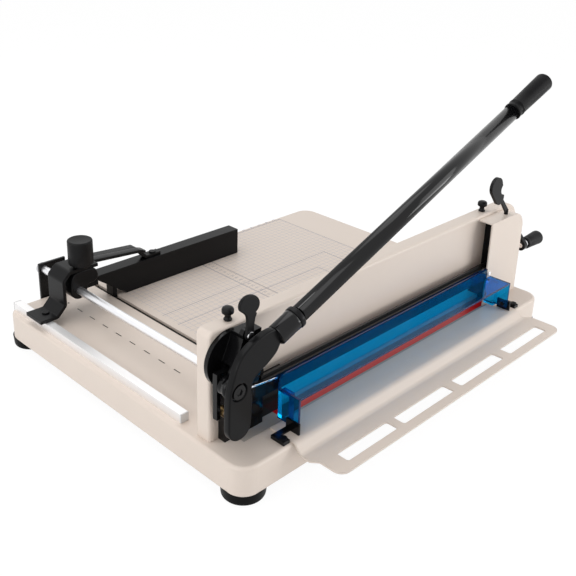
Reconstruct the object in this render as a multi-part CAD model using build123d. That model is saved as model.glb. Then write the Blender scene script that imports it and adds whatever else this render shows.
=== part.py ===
"""Stack paper cutter: a lever guillotine for A3 stacks, with clamp, back gauge, guard and offcut tray.

Working frame, in millimetres: X runs to the operator's right along the blade, Y away from the operator,
Z up, with Z zero on the flat table top. Every piece is moved at the end, so that the origin lies at the
centre of the footprint, at the bottom of the feet.
"""
from build123d import *
import math
import os

# Clearances
fit_gap = 0.05
run_gap = 0.3
over = 2.0

# Openings between the legs, which carry the places along X
leg_inner_left, leg_inner_right = -84.0, 420.0
near_leg_width, far_leg_width = 76.0, 90.0
opening_height = 53.0

# Base casting
base_near_margin, base_far_step = 10.0, 12.0
base_front, base_back = -254.0, 280.0
base_height = 40.0
base_corner_front, base_corner_back = 24.0, 26.0
base_rim_round = 4.5
base_top_wall, base_side_wall = 5.0, 4.0
rib_wall = 4.0
rib_shares = (1 / 3, 2 / 3)
groove_x, groove_width = -20.0, 8.4
groove_front, groove_back = -150.0, 262.0
seam_x, seam_slot_length, seam_slot_width, seam_pitch = -88.0, 14.0, 1.6, 34.0
seam_front, seam_count, seam_depth = -41.0, 8, 1.2

# Feet
foot_height, foot_top_radius, foot_bottom_radius = 17.0, 28.5, 27.0
foot_near_inset, foot_far_inset = 28.0, 23.0
foot_round = 5.0
foot_screw_radius, foot_screw_head, foot_screw_head_height = 3.0, 5.5, 4.0
foot_boss_radius, foot_recess_depth = 12.0, 7.0

# Gantry
gantry_front, gantry_back = -185.0, -161.0
gantry_top, gantry_wall = 146.0, 2.5
gantry_corner_near, gantry_corner_far = 8.0, 35.0
gantry_edge_round = 3.6
leg_block_height = 108.0
leg_bolt_radius, leg_bolt_head, leg_bolt_head_height, leg_bolt_reach = 4.0, 5.8, 6.0, 25.0
leg_bolt_y = -169.5

# Lever, its pivot and its handle
pivot_x, pivot_z, pivot_radius = -153.0, 88.0, 8.0
lever_front, lever_back = -230.0, -220.0
handle_rise_deg = 21.7
handle_axis_above_pivot = 22.6
lobe_radius, lobe_below_pivot, lobe_lean = 17.8, 44.0, 2.5
spacer_radius = 14.0
arm_end_from_pivot, arm_end_half = 74.0, 16.0
arm_left_points = ((41.0, 61.7), (18.0, 55.0), (-1.4, 39.0), (-12.5, 8.0), (-15.6, -14.0))
arm_right_points = ((20.5, -18.0), (19.0, 4.0), (29.0, 22.0), (47.0, 28.0))
pivot_recess_radius, pivot_recess_depth = 12.0, 3.5
socket_radius, socket_length, socket_overlap = 13.2, 30.0, 8.0
collar_radius, collar_length = 14.2, 7.0
tube_radius, tube_wall = 11.3, 2.0
handle_reach = 673.0
grip_length, grip_start_radius, grip_end_radius = 80.0, 12.6, 13.8
grip_ring_radius, grip_ring_length = 13.0, 12.0
grip_round = 4.0
pivot_head_radius, pivot_head_height, pivot_key_flats = 9.0, 3.0, 8.0
pivot_key_depth = 1.5

# Drive between the lever's lobe and the blade carrier
drive_arm = 38.0
drive_pin_radius, drive_roller_radius, drive_pin_cover = 4.0, 6.0, 3.0
yoke_side_gap = 0.4

# Blade, carrier and guides
carrier_front, carrier_back = -207.0, -197.3
carrier_plate_front = -204.5
carrier_bottom, carrier_top = 46.0, 67.0
yoke_left, yoke_right, yoke_top = -165.0, -135.0, 104.0
near_key_inset, far_key_inset, key_z = 28.0, 40.0, 78.0
ear_half, ear_top = 14.0, 104.0
key_length, key_neck_half, key_head_half = 50.0, 5.0, 8.0
key_neck_depth, key_head_depth = 4.0, 5.0
guide_outer, guide_inner, far_guide_inner, far_guide_outer = 34.0, 20.0, 46.0, 20.0
guide_front = -197.0
guide_bottom, near_guide_top, far_guide_top, far_guide_notch = 0.0, 106.0, 134.0, 28.0
blade_near_overlap, blade_far_overlap = 8.0, 2.0
blade_bottom, blade_top, blade_thickness = 43.0, 70.0, 3.7
blade_bevel = 9.0
blade_kiss = 0.3
blade_screw_count, blade_screw_radius, blade_screw_head = 7, 2.5, 4.2
blade_screw_head_height = 2.2

# Near side housing and its lock paddle
housing_x, housing_z, housing_radius, housing_thickness = -131.5, 107.0, 36.3, 6.0
cheek_front, cheek_back, cheek_right, cheek_top = -212.0, -206.0, -104.0, 146.0
cheek_left_points = ((-131.0, 146.0), (-140.0, 122.0), (-160.0, 88.0))
cheek_pivot_radius, cheek_lock_radius = 13.0, 8.0
rim_bottom = 109.0
paddle_screw_x, paddle_screw_z, paddle_screw_radius = -125.5, 144.8, 3.5
paddle_screw_head, paddle_screw_head_height = 5.2, 1.4
near_paddle_x, near_paddle_z, near_paddle_half_x, near_paddle_half_z = -126.0, 183.5, 16.0, 12.5
near_paddle_tilt_deg = -22.0
paddle_stem_half_top, paddle_stem_half_low, paddle_stem_shift = 7.0, 6.6, 5.0
paddle_thickness = 4.0
paddle_front = -216.6

# Far post cover and far lock
post_near_step, post_width = 28.0, 95.0
post_front, post_top, post_wall = -210.0, 141.0, 2.0
post_corner = 28.0
post_screw_inset, post_screw_z, post_screw_radius = 6.5, 56.0, 3.5
lock_inset, lock_y, lock_stem_radius = 56.0, -199.0, 3.2
lock_foot_height, lock_strap_half, lock_strap_thickness = 7.0, 3.6, 3.0
lock_high, lock_high_radius = (-41.0, 55.0), 15.0
lock_low, lock_low_radius = (-28.5, 34.0), 11.0
lock_notch, lock_notch_radius = (-18.5, 47.0), 9.5
lock_pad_thickness = 5.0

# Thumbscrews on the gantry
thumb_y = -173.0
thumb_near_x, thumb_far_x = -121.0, 417.0
thumb_head_radius, thumb_head_height, thumb_neck_radius, thumb_neck_height = 8.0, 9.0, 4.0, 8.0
thumb_flange_radius, thumb_flange_height = 5.8, 2.5
thumb_thread_radius, thumb_thread_length = 3.0, 10.0

# Bed plate and cutting stick
bed_near_step, bed_far_step = 44.0, 20.0
bed_front, bed_back, bed_depth = -211.0, -180.0, 12.0
stick_near_inset, stick_far_step = 24.0, 10.0
stick_front, stick_back, stick_height = -208.0, -187.0, 8.0
stick_sink = 0.2

# Clamp and crank
clamp_side_gap = 4.0
clamp_bar_front, clamp_bar_back = -181.5, -164.5
clamp_bottom, clamp_bar_height, clamp_drop = 45.0, 17.0, 40.0
shaft_y, shaft_z, shaft_radius = -170.5, 96.0, 4.0
pinion_teeth, gear_module, pinion_width = 12, 1.0, 14.0
pressure_angle_deg, tooth_backlash, pinion_addendum, rack_addendum, root_gap = 20.0, 0.12, 0.8, 0.7, 0.25
rack_width, rack_top = 12.0, 141.0
rack_shares = (0.246, 0.762)
clamp_pin_radius, clamp_pin_top, clamp_pin_y = 3.0, 141.0, -178.0
clamp_pin_shares = (0.0775, 0.9305)
bush_bottom, bush_top, bush_half = 66.0, 98.0, 14.0
bearing_half, bearing_bottom, bearing_top = 6.0, 84.0, 108.0
bearing_shares = (0.2025, 0.504, 0.806)
crank_arm_gap, crank_arm_width, crank_arm_thickness = 3.0, 18.0, 8.0
grip_axis_y, grip_axis_z = -197.5, 67.0
crank_collar_radius, crank_collar_length = 7.6, 6.0
crank_grip_length, crank_grip_small, crank_grip_large = 46.0, 9.8, 11.8
crank_spindle_radius, crank_spindle_inset = 4.0, 4.0

# Guard and its brackets
guard_near_inset, guard_far_inset, guard_panel_gap = 12.0, 16.0, 4.0
guard_wall = 2.5
guard_back, guard_front = -212.0, -246.6
guard_top, guard_shelf_top, guard_foot = 67.5, 50.0, 7.5
guard_block_width, guard_block_depth, guard_block_top = 12.0, 17.0, 45.0
guard_corner = 12.0
guard_hinge_y, guard_hinge_z, guard_pin_radius = -238.6, 12.0, 3.0
bracket_wall, bracket_reach, bracket_foot_width = 2.5, 28.0, 10.5
bracket_front, bracket_back, bracket_limb_front = -250.0, -228.0, -236.0
bracket_ear_above_pin, bracket_screw_from_front = 6.0, 6.0
bracket_screw_radius, bracket_screw_head = 3.0, 5.0

# Offcut tray
tray_near_step, tray_far_step, tray_tab_inset = 4.0, 15.0, 2.0
tray_back, tray_ridge, tray_bend, tray_front = -214.0, -256.0, -267.0, -325.0
tray_wall, tray_shelf_top, tray_bend_radius = 2.5, -10.0, 9.0
tray_corner, tray_jog_round = 14.0, 5.0
tray_jog_back, tray_jog_front, tray_jog_inset = -281.0, -290.0, 8.0
tray_flare_back, tray_flare_front = -264.0, -274.0
tray_slot_back, tray_slot_front, tray_slot_round = -293.0, -312.0, 3.5
tray_slots_share = ((0.065, 0.248), (0.273, 0.484), (0.518, 0.723), (0.759, 0.958))
tray_screw_count, tray_screw_radius = 3, 3.5

# Guide rod, rear bracket and side rail
rod_x, rod_z, rod_radius = -100.0, 46.4, 6.0
rod_bracket_left, rod_bracket_right, rod_bracket_wall = -109.0, -63.0, 4.0
rod_bracket_top, rod_bracket_bottom = 57.0, -30.0
rod_bracket_hole_x, rod_bracket_hole_radius = -80.0, 3.5
rod_nut_radius, rod_nut_height = 9.0, 5.0
rail_left, rail_size, rail_wall = -160.0, 12.0, 1.5
rail_front, rail_back = -130.0, 271.0
plug_length = 6.0

# Back gauge
gauge_front, gauge_back = 181.0, 222.0
sleeve_front, sleeve_back, sleeve_radius = 180.0, 222.0, 14.0
sleeve_block_low, sleeve_block_high = 32.0, 60.0
strap_thickness = 5.0
strap_bend_share = 1.1
strap_foot_left, strap_riser_x, strap_top = -167.0, -125.0, 81.0
strap_low_bend, strap_high_bend = 14.0, 11.0
strap_knee_x, strap_arm_x, strap_arm_z = -66.0, 22.0, 70.0
strap_land_x, strap_arm_end = 44.0, 72.0
strap_arm_front = 209.0
fence_left, fence_right, fence_front, fence_back, fence_top = 0.0, 240.0, 205.0, 229.0, 46.0
fence_beak_left, fence_beak_low = -52.0, 38.5
fence_lift, fence_wall, fence_beak_wall = 0.5, 3.0, 9.0
key_reach = 2.7
gauge_back_travel, gauge_front_travel = 35.0, 325.0
gauge_knob_x, gauge_knob_y, gauge_knob_radius, gauge_knob_height = -91.0, 187.0, 18.6, 38.0
gauge_neck_radius, gauge_neck_height, gauge_screw_radius, gauge_screw_low = 13.0, 5.0, 4.0, 56.0
strap_foot_screw_inset, strap_fence_screw_inset = 20.0, 12.0
screw_cap = 2.0

# Derived values
leg_span = leg_inner_right - leg_inner_left
gantry_left, gantry_right = leg_inner_left - near_leg_width, leg_inner_right + far_leg_width
base_left, base_right = gantry_left - base_near_margin, gantry_right - base_far_step
key_x, far_key_x = leg_inner_left - near_key_inset, leg_inner_right + far_key_inset
guide_span = far_key_x - key_x
key_shifts = (0, guide_span)
blade_left, blade_right = leg_inner_left - blade_near_overlap, leg_inner_right + blade_far_overlap
bed_left, bed_right = leg_inner_left - bed_near_step, leg_inner_right + bed_far_step
stick_left, stick_right = leg_inner_left + stick_near_inset, leg_inner_right + stick_far_step
clamp_left, clamp_right = leg_inner_left + clamp_side_gap, leg_inner_right - clamp_side_gap
guard_left, guard_right = leg_inner_left + guard_near_inset, leg_inner_right - guard_far_inset
tray_left, tray_right = leg_inner_left - tray_near_step, leg_inner_right + tray_far_step
tray_tab_right = leg_inner_right - tray_tab_inset
post_left = leg_inner_right - post_near_step
post_right = post_left + post_width
post_screw_x, lock_x = post_left + post_screw_inset, post_left + lock_inset
rack_places = [leg_inner_left + share * leg_span for share in rack_shares]
clamp_pin_places = [leg_inner_left + share * leg_span for share in clamp_pin_shares]
bearing_places = [leg_inner_left + share * leg_span for share in bearing_shares]
handle_rise = math.radians(handle_rise_deg)
drive_shift = drive_arm * math.sin(handle_rise)
blade_drop = blade_bottom - blade_kiss
slide_lean = math.atan2(drive_shift, blade_drop)
slide_travel = math.hypot(drive_shift, blade_drop)
slide_up = (math.sin(slide_lean), 0.0, math.cos(slide_lean))
drive_rise = drive_arm * (1 - math.cos(handle_rise))
drive_z = pivot_z - drive_arm
pinion_radius = pinion_teeth * gear_module / 2
gantry_mid = (gantry_front + gantry_back) / 2
crank_arm_x = gantry_right + crank_arm_gap
crank_grip_x = crank_arm_x + crank_arm_thickness
crank_end = crank_grip_x + crank_collar_length + crank_grip_length
rod_bracket_back = base_back + rod_bracket_wall + rod_nut_height
origin_x = (base_left + crank_end) / 2
origin_y = (tray_front + rod_bracket_back) / 2
origin_z = -base_height - foot_height


def block(x, y, z):
    """A box between two values on each axis."""
    size = [abs(b - a) for a, b in (x, y, z)]
    low = [min(a, b) for a, b in (x, y, z)]
    return Pos(*low) * Box(*size, align=(Align.MIN, Align.MIN, Align.MIN))


def rod_along_x(x, y, z, radius):
    """A round bar along X between two values."""
    length = abs(x[1] - x[0])
    return Pos((x[0] + x[1]) / 2, y, z) * Rot(0, 90, 0) * Cylinder(radius, length)


def rod_along_y(x, y, z, radius):
    """A round bar along Y between two values."""
    length = abs(y[1] - y[0])
    return Pos(x, (y[0] + y[1]) / 2, z) * Rot(90, 0, 0) * Cylinder(radius, length)


def rod_along_z(x, y, z, radius):
    """A round bar along Z between two values."""
    length = abs(z[1] - z[0])
    return Pos(x, y, (z[0] + z[1]) / 2) * Cylinder(radius, length)


def front_plane(y):
    """A sketch plane that faces the operator, with X to the right and Z up."""
    return Plane(origin=(0, y, 0), x_dir=(1, 0, 0), z_dir=(0, -1, 0))


def plate_between(sketch, front, back):
    """A flat X, Z outline made solid between two Y values."""
    return extrude(front_plane(back) * sketch, amount=back - front)


def save(shape, name):
    """Writes one node, moved to the part's own origin."""
    moved = Pos(-origin_x, -origin_y, -origin_z) * shape
    export_step(moved, os.path.join("parts", name + ".step"))


def group(solids):
    """Like pieces that share one node."""
    return Compound(children=list(solids))


# Base casting, bed, stick and feet

def foot_places():
    """Centres of the four feet."""
    xs = (base_left + foot_near_inset, base_right - foot_far_inset)
    ys = (base_front + foot_near_inset, base_back - foot_far_inset)
    return [(x, y) for x in xs for y in ys]


def rounded_plan(inset):
    """The base's plan, drawn in by an inset."""
    width = base_right - base_left - 2 * inset
    depth = base_back - base_front - 2 * inset
    centre = Pos((base_left + base_right) / 2, (base_front + base_back) / 2)
    plan = centre * Rectangle(width, depth)
    corners = plan.vertices().sort_by(Axis.Y)
    plan = fillet(corners[:2], base_corner_front - inset)
    corners = plan.vertices().group_by(Axis.Y)[-1]
    return fillet(corners, base_corner_back - inset)


def leg_bolt_places():
    """Bolts that hold the leg blocks to the base."""
    spread = (leg_inner_left - gantry_left) / 4
    near = (gantry_left + leg_inner_left) / 2
    far = (gantry_right + leg_inner_right) / 2
    return [(centre + side, leg_bolt_y) for centre in (near, far) for side in (-spread, spread)]


def make_base():
    """An open-bottomed casting with ribs, foot bosses, groove, seam slots and bed recess."""
    shell = extrude(rounded_plan(0), amount=-base_height)
    shell = fillet(shell.faces().sort_by(Axis.Z)[-1].edges(), base_rim_round)
    hollow = Pos(0, 0, -base_top_wall) * extrude(rounded_plan(base_side_wall), amount=-base_height)
    shell -= hollow
    low = -base_height + over
    for share in rib_shares:
        x = base_left + share * (base_right - base_left)
        shell += block((x, x + rib_wall), (base_front + over, base_back - over), (low, -base_top_wall))
    for share in rib_shares:
        y = base_front + share * (base_back - base_front)
        shell += block((base_left + over, base_right - over), (y, y + rib_wall), (low, -base_top_wall))
    for x, y in foot_places():
        shell += rod_along_z(x, y, (-base_height, -base_top_wall), foot_boss_radius)
        shell -= rod_along_z(x, y, (-base_height - over, -base_height / 2), foot_screw_radius + fit_gap)
    for x, y in leg_bolt_places():
        shell -= rod_along_z(x, y, (-base_height, over), leg_bolt_radius + fit_gap)
    shell += block((bed_left - rib_wall, bed_right + rib_wall), (bed_front - rib_wall, bed_back + rib_wall),
                   (-bed_depth - rib_wall, -base_top_wall))
    shell -= block((bed_left - run_gap, bed_right + run_gap), (bed_front - run_gap, bed_back + run_gap),
                   (-bed_depth, over))
    shell -= block((groove_x - groove_width / 2, groove_x + groove_width / 2), (groove_front, groove_back),
                   (-base_top_wall - over, over))
    for x, y in tray_screw_places():
        shell -= rod_along_z(x, y, (-base_top_wall - over, over), tray_screw_radius + fit_gap)
    for x, y in bracket_screw_places():
        shell -= rod_along_z(x, y, (-base_top_wall - over, over), bracket_screw_radius + fit_gap)
    for x, z in rod_bracket_screw_places():
        shell -= rod_along_y(x, (base_back - base_side_wall - over, base_back + over), z,
                             foot_screw_radius + fit_gap)
    for index in range(seam_count):
        y = seam_front + index * seam_pitch
        shell -= block((seam_x - seam_slot_width / 2, seam_x + seam_slot_width / 2),
                       (y, y + seam_slot_length), (-seam_depth, over))
    return shell


def make_bed():
    """Steel bed plate, flush with the table, grooved for the stick."""
    bed = block((bed_left, bed_right), (bed_front, bed_back), (-bed_depth, 0))
    return bed - block((stick_left, stick_right), (stick_front, stick_back),
                       (-stick_height - stick_sink, over))


def make_stick():
    """Square plastic strip that the blade lands on."""
    return block((stick_left + run_gap, stick_right - run_gap), (stick_front + run_gap, stick_back - run_gap),
                 (-stick_height - stick_sink, -stick_sink))


def make_feet():
    """Conical rubber feet, each with a recess for its screw head."""
    feet = []
    for x, y in foot_places():
        cone = Cone(foot_bottom_radius, foot_top_radius, foot_height)
        cone = fillet(cone.edges().sort_by(Axis.Z)[0], foot_round)
        foot = Pos(x, y, -base_height - foot_height / 2) * cone
        foot -= rod_along_z(x, y, (-base_height - foot_height - over, -base_height + over),
                            foot_screw_radius + fit_gap)
        foot -= rod_along_z(x, y, (-base_height - foot_height - over,
                                   -base_height - foot_height + foot_recess_depth),
                            foot_screw_head + run_gap)
        feet.append(foot)
    return group(feet)


def make_foot_screws():
    """Screws that hold the feet to the base's bosses."""
    screws = []
    seat = -base_height - foot_height + foot_recess_depth
    for x, y in foot_places():
        head = rod_along_z(x, y, (seat - foot_screw_head_height, seat), foot_screw_head)
        shank = rod_along_z(x, y, (seat, -base_height / 2 - over), foot_screw_radius)
        screws.append(head + shank)
    return group(screws)


# Gantry

def gantry_outline(inset, bottom):
    """Front view of the gantry's beam and legs, without the opening."""
    left, right, top = gantry_left + inset, gantry_right - inset, gantry_top - inset
    plan = Pos((left + right) / 2, (bottom + top) / 2) * Rectangle(right - left, top - bottom)
    corners = plan.vertices().group_by(Axis.Y)[-1].sort_by(Axis.X)
    plan = fillet(corners[0], gantry_corner_near - inset)
    corner = plan.vertices().group_by(Axis.Y)[-1].sort_by(Axis.X)[-1]
    return fillet(corner, gantry_corner_far - inset)


def make_gantry():
    """Sheet cover over the beam and both legs, open below."""
    cover = plate_between(gantry_outline(0, 0), gantry_front, gantry_back)
    rims = cover.faces().filter_by(Axis.Y).edges().filter_by(lambda e: e.center().Z > opening_height)
    cover = fillet(rims, gantry_edge_round)
    inner = plate_between(gantry_outline(gantry_wall, -over), gantry_front + gantry_wall,
                          gantry_back - gantry_wall)
    cover -= inner
    cover -= block((leg_inner_left, leg_inner_right), (gantry_front - over, gantry_back + over),
                   (-over, opening_height))
    for x in (thumb_near_x, thumb_far_x):
        cover -= rod_along_z(x, thumb_y, (gantry_top - gantry_wall - over, gantry_top + over),
                             thumb_thread_radius + fit_gap)
    cover -= rod_along_x((gantry_right - gantry_wall - over, gantry_right + over), shaft_y, shaft_z,
                         shaft_radius + run_gap)
    cover -= rod_along_y(rod_x, (gantry_back - gantry_wall - over, gantry_back + over), rod_z,
                         rod_radius + fit_gap)
    return cover


def make_leg_block(left, right):
    """Cast block inside a leg, which ties base, cover and guides together."""
    leg = block((left, right), (gantry_front + gantry_wall + run_gap, gantry_back - gantry_wall - run_gap),
                (0, leg_block_height))
    for x, y in leg_bolt_places():
        leg -= rod_along_z(x, y, (-over, leg_bolt_reach + over), leg_bolt_radius + fit_gap)
    if right > leg_inner_right:
        return leg - rod_along_x((left - over, right + over), shaft_y, shaft_z, shaft_radius + fit_gap)
    return leg - rod_along_y(rod_x, (gantry_mid, gantry_back), rod_z, rod_radius + fit_gap)


def make_leg_bolts():
    """Bolts from below the base's top into the leg blocks."""
    bolts = []
    for x, y in leg_bolt_places():
        head = rod_along_z(x, y, (-base_top_wall - leg_bolt_head_height, -base_top_wall), leg_bolt_head)
        bolts.append(head + rod_along_z(x, y, (-base_top_wall, leg_bolt_reach), leg_bolt_radius))
    return group(bolts)


# Lever

def along_handle(distance, offset):
    """A point in the front view, so far along the handle's line from the pivot's foot on it."""
    x = pivot_x + distance * math.cos(handle_rise) - offset * math.sin(handle_rise)
    z = pivot_z + distance * math.sin(handle_rise) + offset * math.cos(handle_rise)
    return (x, z)


def handle_bar(start, end, radius, end_radius=None):
    """A round piece on the handle's axis between two distances."""
    middle = along_handle((start + end) / 2, handle_axis_above_pivot)
    lever_mid = (lever_front + lever_back) / 2
    turned = Pos(middle[0], lever_mid, middle[1]) * Rot(0, 90 - handle_rise_deg, 0)
    if end_radius is None:
        return turned * Cylinder(radius, end - start)
    return turned * Cone(radius, end_radius, end - start)


def make_lever_arm():
    """Cast arm: lobe below the pivot, swept arm up to the handle's socket, and a recess for the bolt."""
    lobe_x, lobe_z = pivot_x + lobe_lean, pivot_z - lobe_below_pivot
    upper = along_handle(arm_end_from_pivot, handle_axis_above_pivot + arm_end_half)
    lower = along_handle(arm_end_from_pivot, handle_axis_above_pivot - arm_end_half)
    left_side = [(pivot_x + x, pivot_z + z) for x, z in arm_left_points]
    right_side = [(pivot_x + x, pivot_z + z) for x, z in arm_right_points]
    lobe_left, lobe_right = (lobe_x - lobe_radius, lobe_z), (lobe_x + lobe_radius, lobe_z)
    with BuildSketch() as outline:
        with BuildLine():
            ThreePointArc(lobe_left, (lobe_x, lobe_z - lobe_radius), lobe_right)
            Spline(lobe_right, *right_side, lower)
            Line(lower, upper)
            Spline(upper, *left_side, lobe_left)
        make_face()
    arm = plate_between(outline.sketch, lever_front, lever_back)
    arm += rod_along_y(pivot_x, (lever_back, cheek_front - run_gap), pivot_z, spacer_radius)
    arm += handle_bar(arm_end_from_pivot - socket_overlap, arm_end_from_pivot + socket_length,
                      socket_radius)
    arm -= rod_along_y(pivot_x, (lever_front - over, cheek_front + over), pivot_z, pivot_radius + fit_gap)
    arm -= rod_along_y(pivot_x, (lever_front - over, lever_front + pivot_recess_depth), pivot_z,
                       pivot_recess_radius)
    arm -= rod_along_y(pivot_x, (lever_front + drive_pin_cover, lever_back + over), drive_z,
                       drive_pin_radius + fit_gap)
    arm -= handle_bar(arm_end_from_pivot + over, arm_end_from_pivot + socket_length + over,
                      tube_radius + fit_gap)
    return arm


def make_handle_tube():
    """Steel tube from the socket to the far tip."""
    start, end = arm_end_from_pivot + over, handle_reach - over
    tube = handle_bar(start, end, tube_radius)
    return tube - handle_bar(start - over, end - over, tube_radius - tube_wall)


def make_handle_collar():
    """Ring at the mouth of the socket."""
    start = arm_end_from_pivot + socket_length
    ring = handle_bar(start + fit_gap, start + collar_length, collar_radius)
    return ring - handle_bar(start - over, start + collar_length + over, tube_radius + fit_gap)


def make_handle_grip():
    """Moulded grip: a ring, then a body that widens to a closed round end."""
    start, end = handle_reach - grip_length, handle_reach
    grip = handle_bar(start, end, grip_start_radius, grip_end_radius)
    grip = fillet(grip.edges().filter_by(GeomType.CIRCLE).sort_by(Axis.X)[-1], grip_round)
    grip += handle_bar(start - grip_ring_length, start, grip_ring_radius)
    return grip - handle_bar(start - grip_ring_length - over, end - over + fit_gap, tube_radius + fit_gap)


def make_pivot_bolt():
    """Shoulder bolt that the lever turns on, sunk in its recess and held in the housing's cheek."""
    seat = lever_front + pivot_recess_depth - run_gap
    shank = rod_along_y(pivot_x, (seat, cheek_back), pivot_z, pivot_radius)
    head = rod_along_y(pivot_x, (seat - pivot_head_height, seat), pivot_z, pivot_head_radius)
    hexagon = Pos(pivot_x, pivot_z) * RegularPolygon(pivot_key_flats / 2, 6, major_radius=False)
    key = plate_between(hexagon, seat - pivot_head_height - over, seat - pivot_head_height + pivot_key_depth)
    return head + shank - key


def make_drive_pin():
    """Pin in the lobe that reaches back into the carrier's yoke."""
    start = lever_front + drive_pin_cover + fit_gap
    return rod_along_y(pivot_x, (start, carrier_back - run_gap), drive_z, drive_pin_radius)


def make_drive_roller():
    """Roller on the drive pin, inside the yoke."""
    roller = rod_along_y(pivot_x, (carrier_plate_front - over, carrier_back), drive_z, drive_roller_radius)
    return roller - rod_along_y(pivot_x, (carrier_front - over, guide_front), drive_z,
                                drive_pin_radius + fit_gap)


# Blade carrier and its guides

def leaning(x, z, half_width, low, high):
    """A strip in the front view that leans with the slide, between two distances along it."""
    dx, dz = slide_up[0], slide_up[2]
    corners = []
    for side, along in ((-1, low), (1, low), (1, high), (-1, high)):
        corners.append((x + dx * along + side * half_width * dz, z + dz * along - side * half_width * dx))
    return Polygon(*corners, align=None)


def key_strip(shift, half_width, slack, front, back):
    """A strip of the carrier's key, made solid between two depths behind the carrier."""
    strip = leaning(key_x + shift, key_z, half_width + slack, -key_length / 2, key_length / 2)
    return plate_between(strip, front, back)


def make_carrier():
    """Bar that holds the blade, with a yoke at the near end and a key at both ends."""
    bar = block((key_x, key_x + guide_span), (carrier_front, carrier_back), (carrier_bottom, carrier_top))
    bar -= block((blade_left - fit_gap, blade_right + fit_gap),
                 (carrier_back - blade_thickness, carrier_back + over),
                 (carrier_bottom - over, carrier_top + over))
    yoke = block((yoke_left, key_x), (carrier_plate_front, carrier_back), (blade_bottom + run_gap, yoke_top))
    bar += yoke
    for shift in key_shifts:
        ear = leaning(key_x + shift, key_z, ear_half, -(key_z - carrier_bottom), ear_top - key_z)
        bar += plate_between(ear, carrier_plate_front, carrier_back)
    bar -= block((yoke_left - over, far_key_x + ear_half * 2), (carrier_plate_front - over, carrier_back),
                 (ear_top, ear_top + ear_half))
    slot_half = drive_roller_radius + yoke_side_gap
    slot_top = drive_z + drive_rise + blade_drop + drive_roller_radius + run_gap
    bar -= block((pivot_x - slot_half, pivot_x + slot_half), (carrier_front - over, carrier_back + over),
                 (blade_bottom - over, slot_top))
    for shift in key_shifts:
        neck_back = carrier_back + key_neck_depth
        bar += key_strip(shift, key_neck_half, 0, carrier_back, neck_back)
        bar += key_strip(shift, key_head_half, 0, neck_back, neck_back + key_head_depth)
    for x in blade_screw_places():
        bar -= rod_along_y(x, (carrier_front - over, carrier_back + over),
                           (carrier_bottom + carrier_top) / 2, blade_screw_radius + fit_gap)
    return bar


def blade_screw_places():
    """Screws that hold the blade, evenly spaced along it."""
    pitch = (blade_right - blade_left) / blade_screw_count
    return [blade_left + pitch * (index + 1 / 2) for index in range(blade_screw_count)]


def make_blade():
    """Steel blade with a ground bevel on its front, held behind the carrier's bar."""
    front = carrier_back - blade_thickness + fit_gap
    profile = Polygon((front, blade_bottom + blade_bevel), (carrier_back, blade_bottom),
                      (carrier_back, blade_top), (front, blade_top), align=None)
    side = Plane(origin=(blade_left, 0, 0), x_dir=(0, 1, 0), z_dir=(1, 0, 0))
    blade = extrude(side * profile, amount=blade_right - blade_left)
    for x in blade_screw_places():
        blade -= rod_along_y(x, (carrier_front, carrier_back + over), (carrier_bottom + carrier_top) / 2,
                             blade_screw_radius + fit_gap)
    return blade


def make_blade_screws():
    """Button-head screws along the carrier."""
    z = (carrier_bottom + carrier_top) / 2
    screws = []
    for x in blade_screw_places():
        head = rod_along_y(x, (carrier_front - blade_screw_head_height, carrier_front), z, blade_screw_head)
        screws.append(head + rod_along_y(x, (carrier_front, carrier_back - run_gap), z, blade_screw_radius))
    return group(screws)


def make_guide(shift, left, right, top):
    """Block with a leaning T slot that the carrier's key runs in."""
    guide = block((left, right), (guide_front, gantry_front), (guide_bottom, top))
    guide -= block((right - far_guide_notch, right + over), (guide_front - over, gantry_front + over),
                   (near_guide_top, far_guide_top + over))
    low = -(key_length / 2) - slide_travel - run_gap
    high = key_length
    neck = leaning(key_x + shift, key_z, key_neck_half + fit_gap * 2, low, high)
    head = leaning(key_x + shift, key_z, key_head_half + fit_gap * 2, low, high)
    neck_back = carrier_back + key_neck_depth
    guide -= plate_between(neck, guide_front - over, neck_back)
    guide -= plate_between(head, neck_back - run_gap, neck_back + key_head_depth + run_gap)
    return guide


# Near side housing and lock paddles

def make_housing():
    """Disc on the gantry's face, with a cheek before the yoke that holds the pivot and the lock."""
    disc_front = gantry_front - housing_thickness
    disc = plate_between(Pos(housing_x, housing_z) * Circle(housing_radius), disc_front, gantry_front)
    disc -= block((key_x - guide_outer - run_gap, key_x + guide_inner + run_gap),
                  (disc_front - over, gantry_front + over), (guide_bottom, near_guide_top + run_gap))
    start, middle, end = cheek_left_points
    with BuildSketch() as outline:
        with BuildLine():
            ThreePointArc(start, middle, end)
            Line(end, (cheek_right, pivot_z))
            Line((cheek_right, pivot_z), (cheek_right, cheek_top))
            Line((cheek_right, cheek_top), start)
        make_face()
    plan = outline.sketch + Pos(pivot_x, pivot_z) * Circle(cheek_pivot_radius)
    plan += Pos(paddle_screw_x, paddle_screw_z) * Circle(cheek_lock_radius)
    cheek = plate_between(plan, cheek_front, cheek_back)
    keep = block((housing_x - housing_radius * 2, cheek_right + over), (cheek_back, disc_front),
                 (rim_bottom, cheek_top))
    cheek += plate_between(plan, cheek_back, disc_front) & keep
    cheek -= rod_along_y(pivot_x, (cheek_front - over, cheek_back + over), pivot_z, pivot_radius + fit_gap)
    cheek -= rod_along_y(paddle_screw_x, (cheek_front - over, cheek_back + over), paddle_screw_z,
                         paddle_screw_radius + fit_gap)
    return disc + cheek


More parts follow.
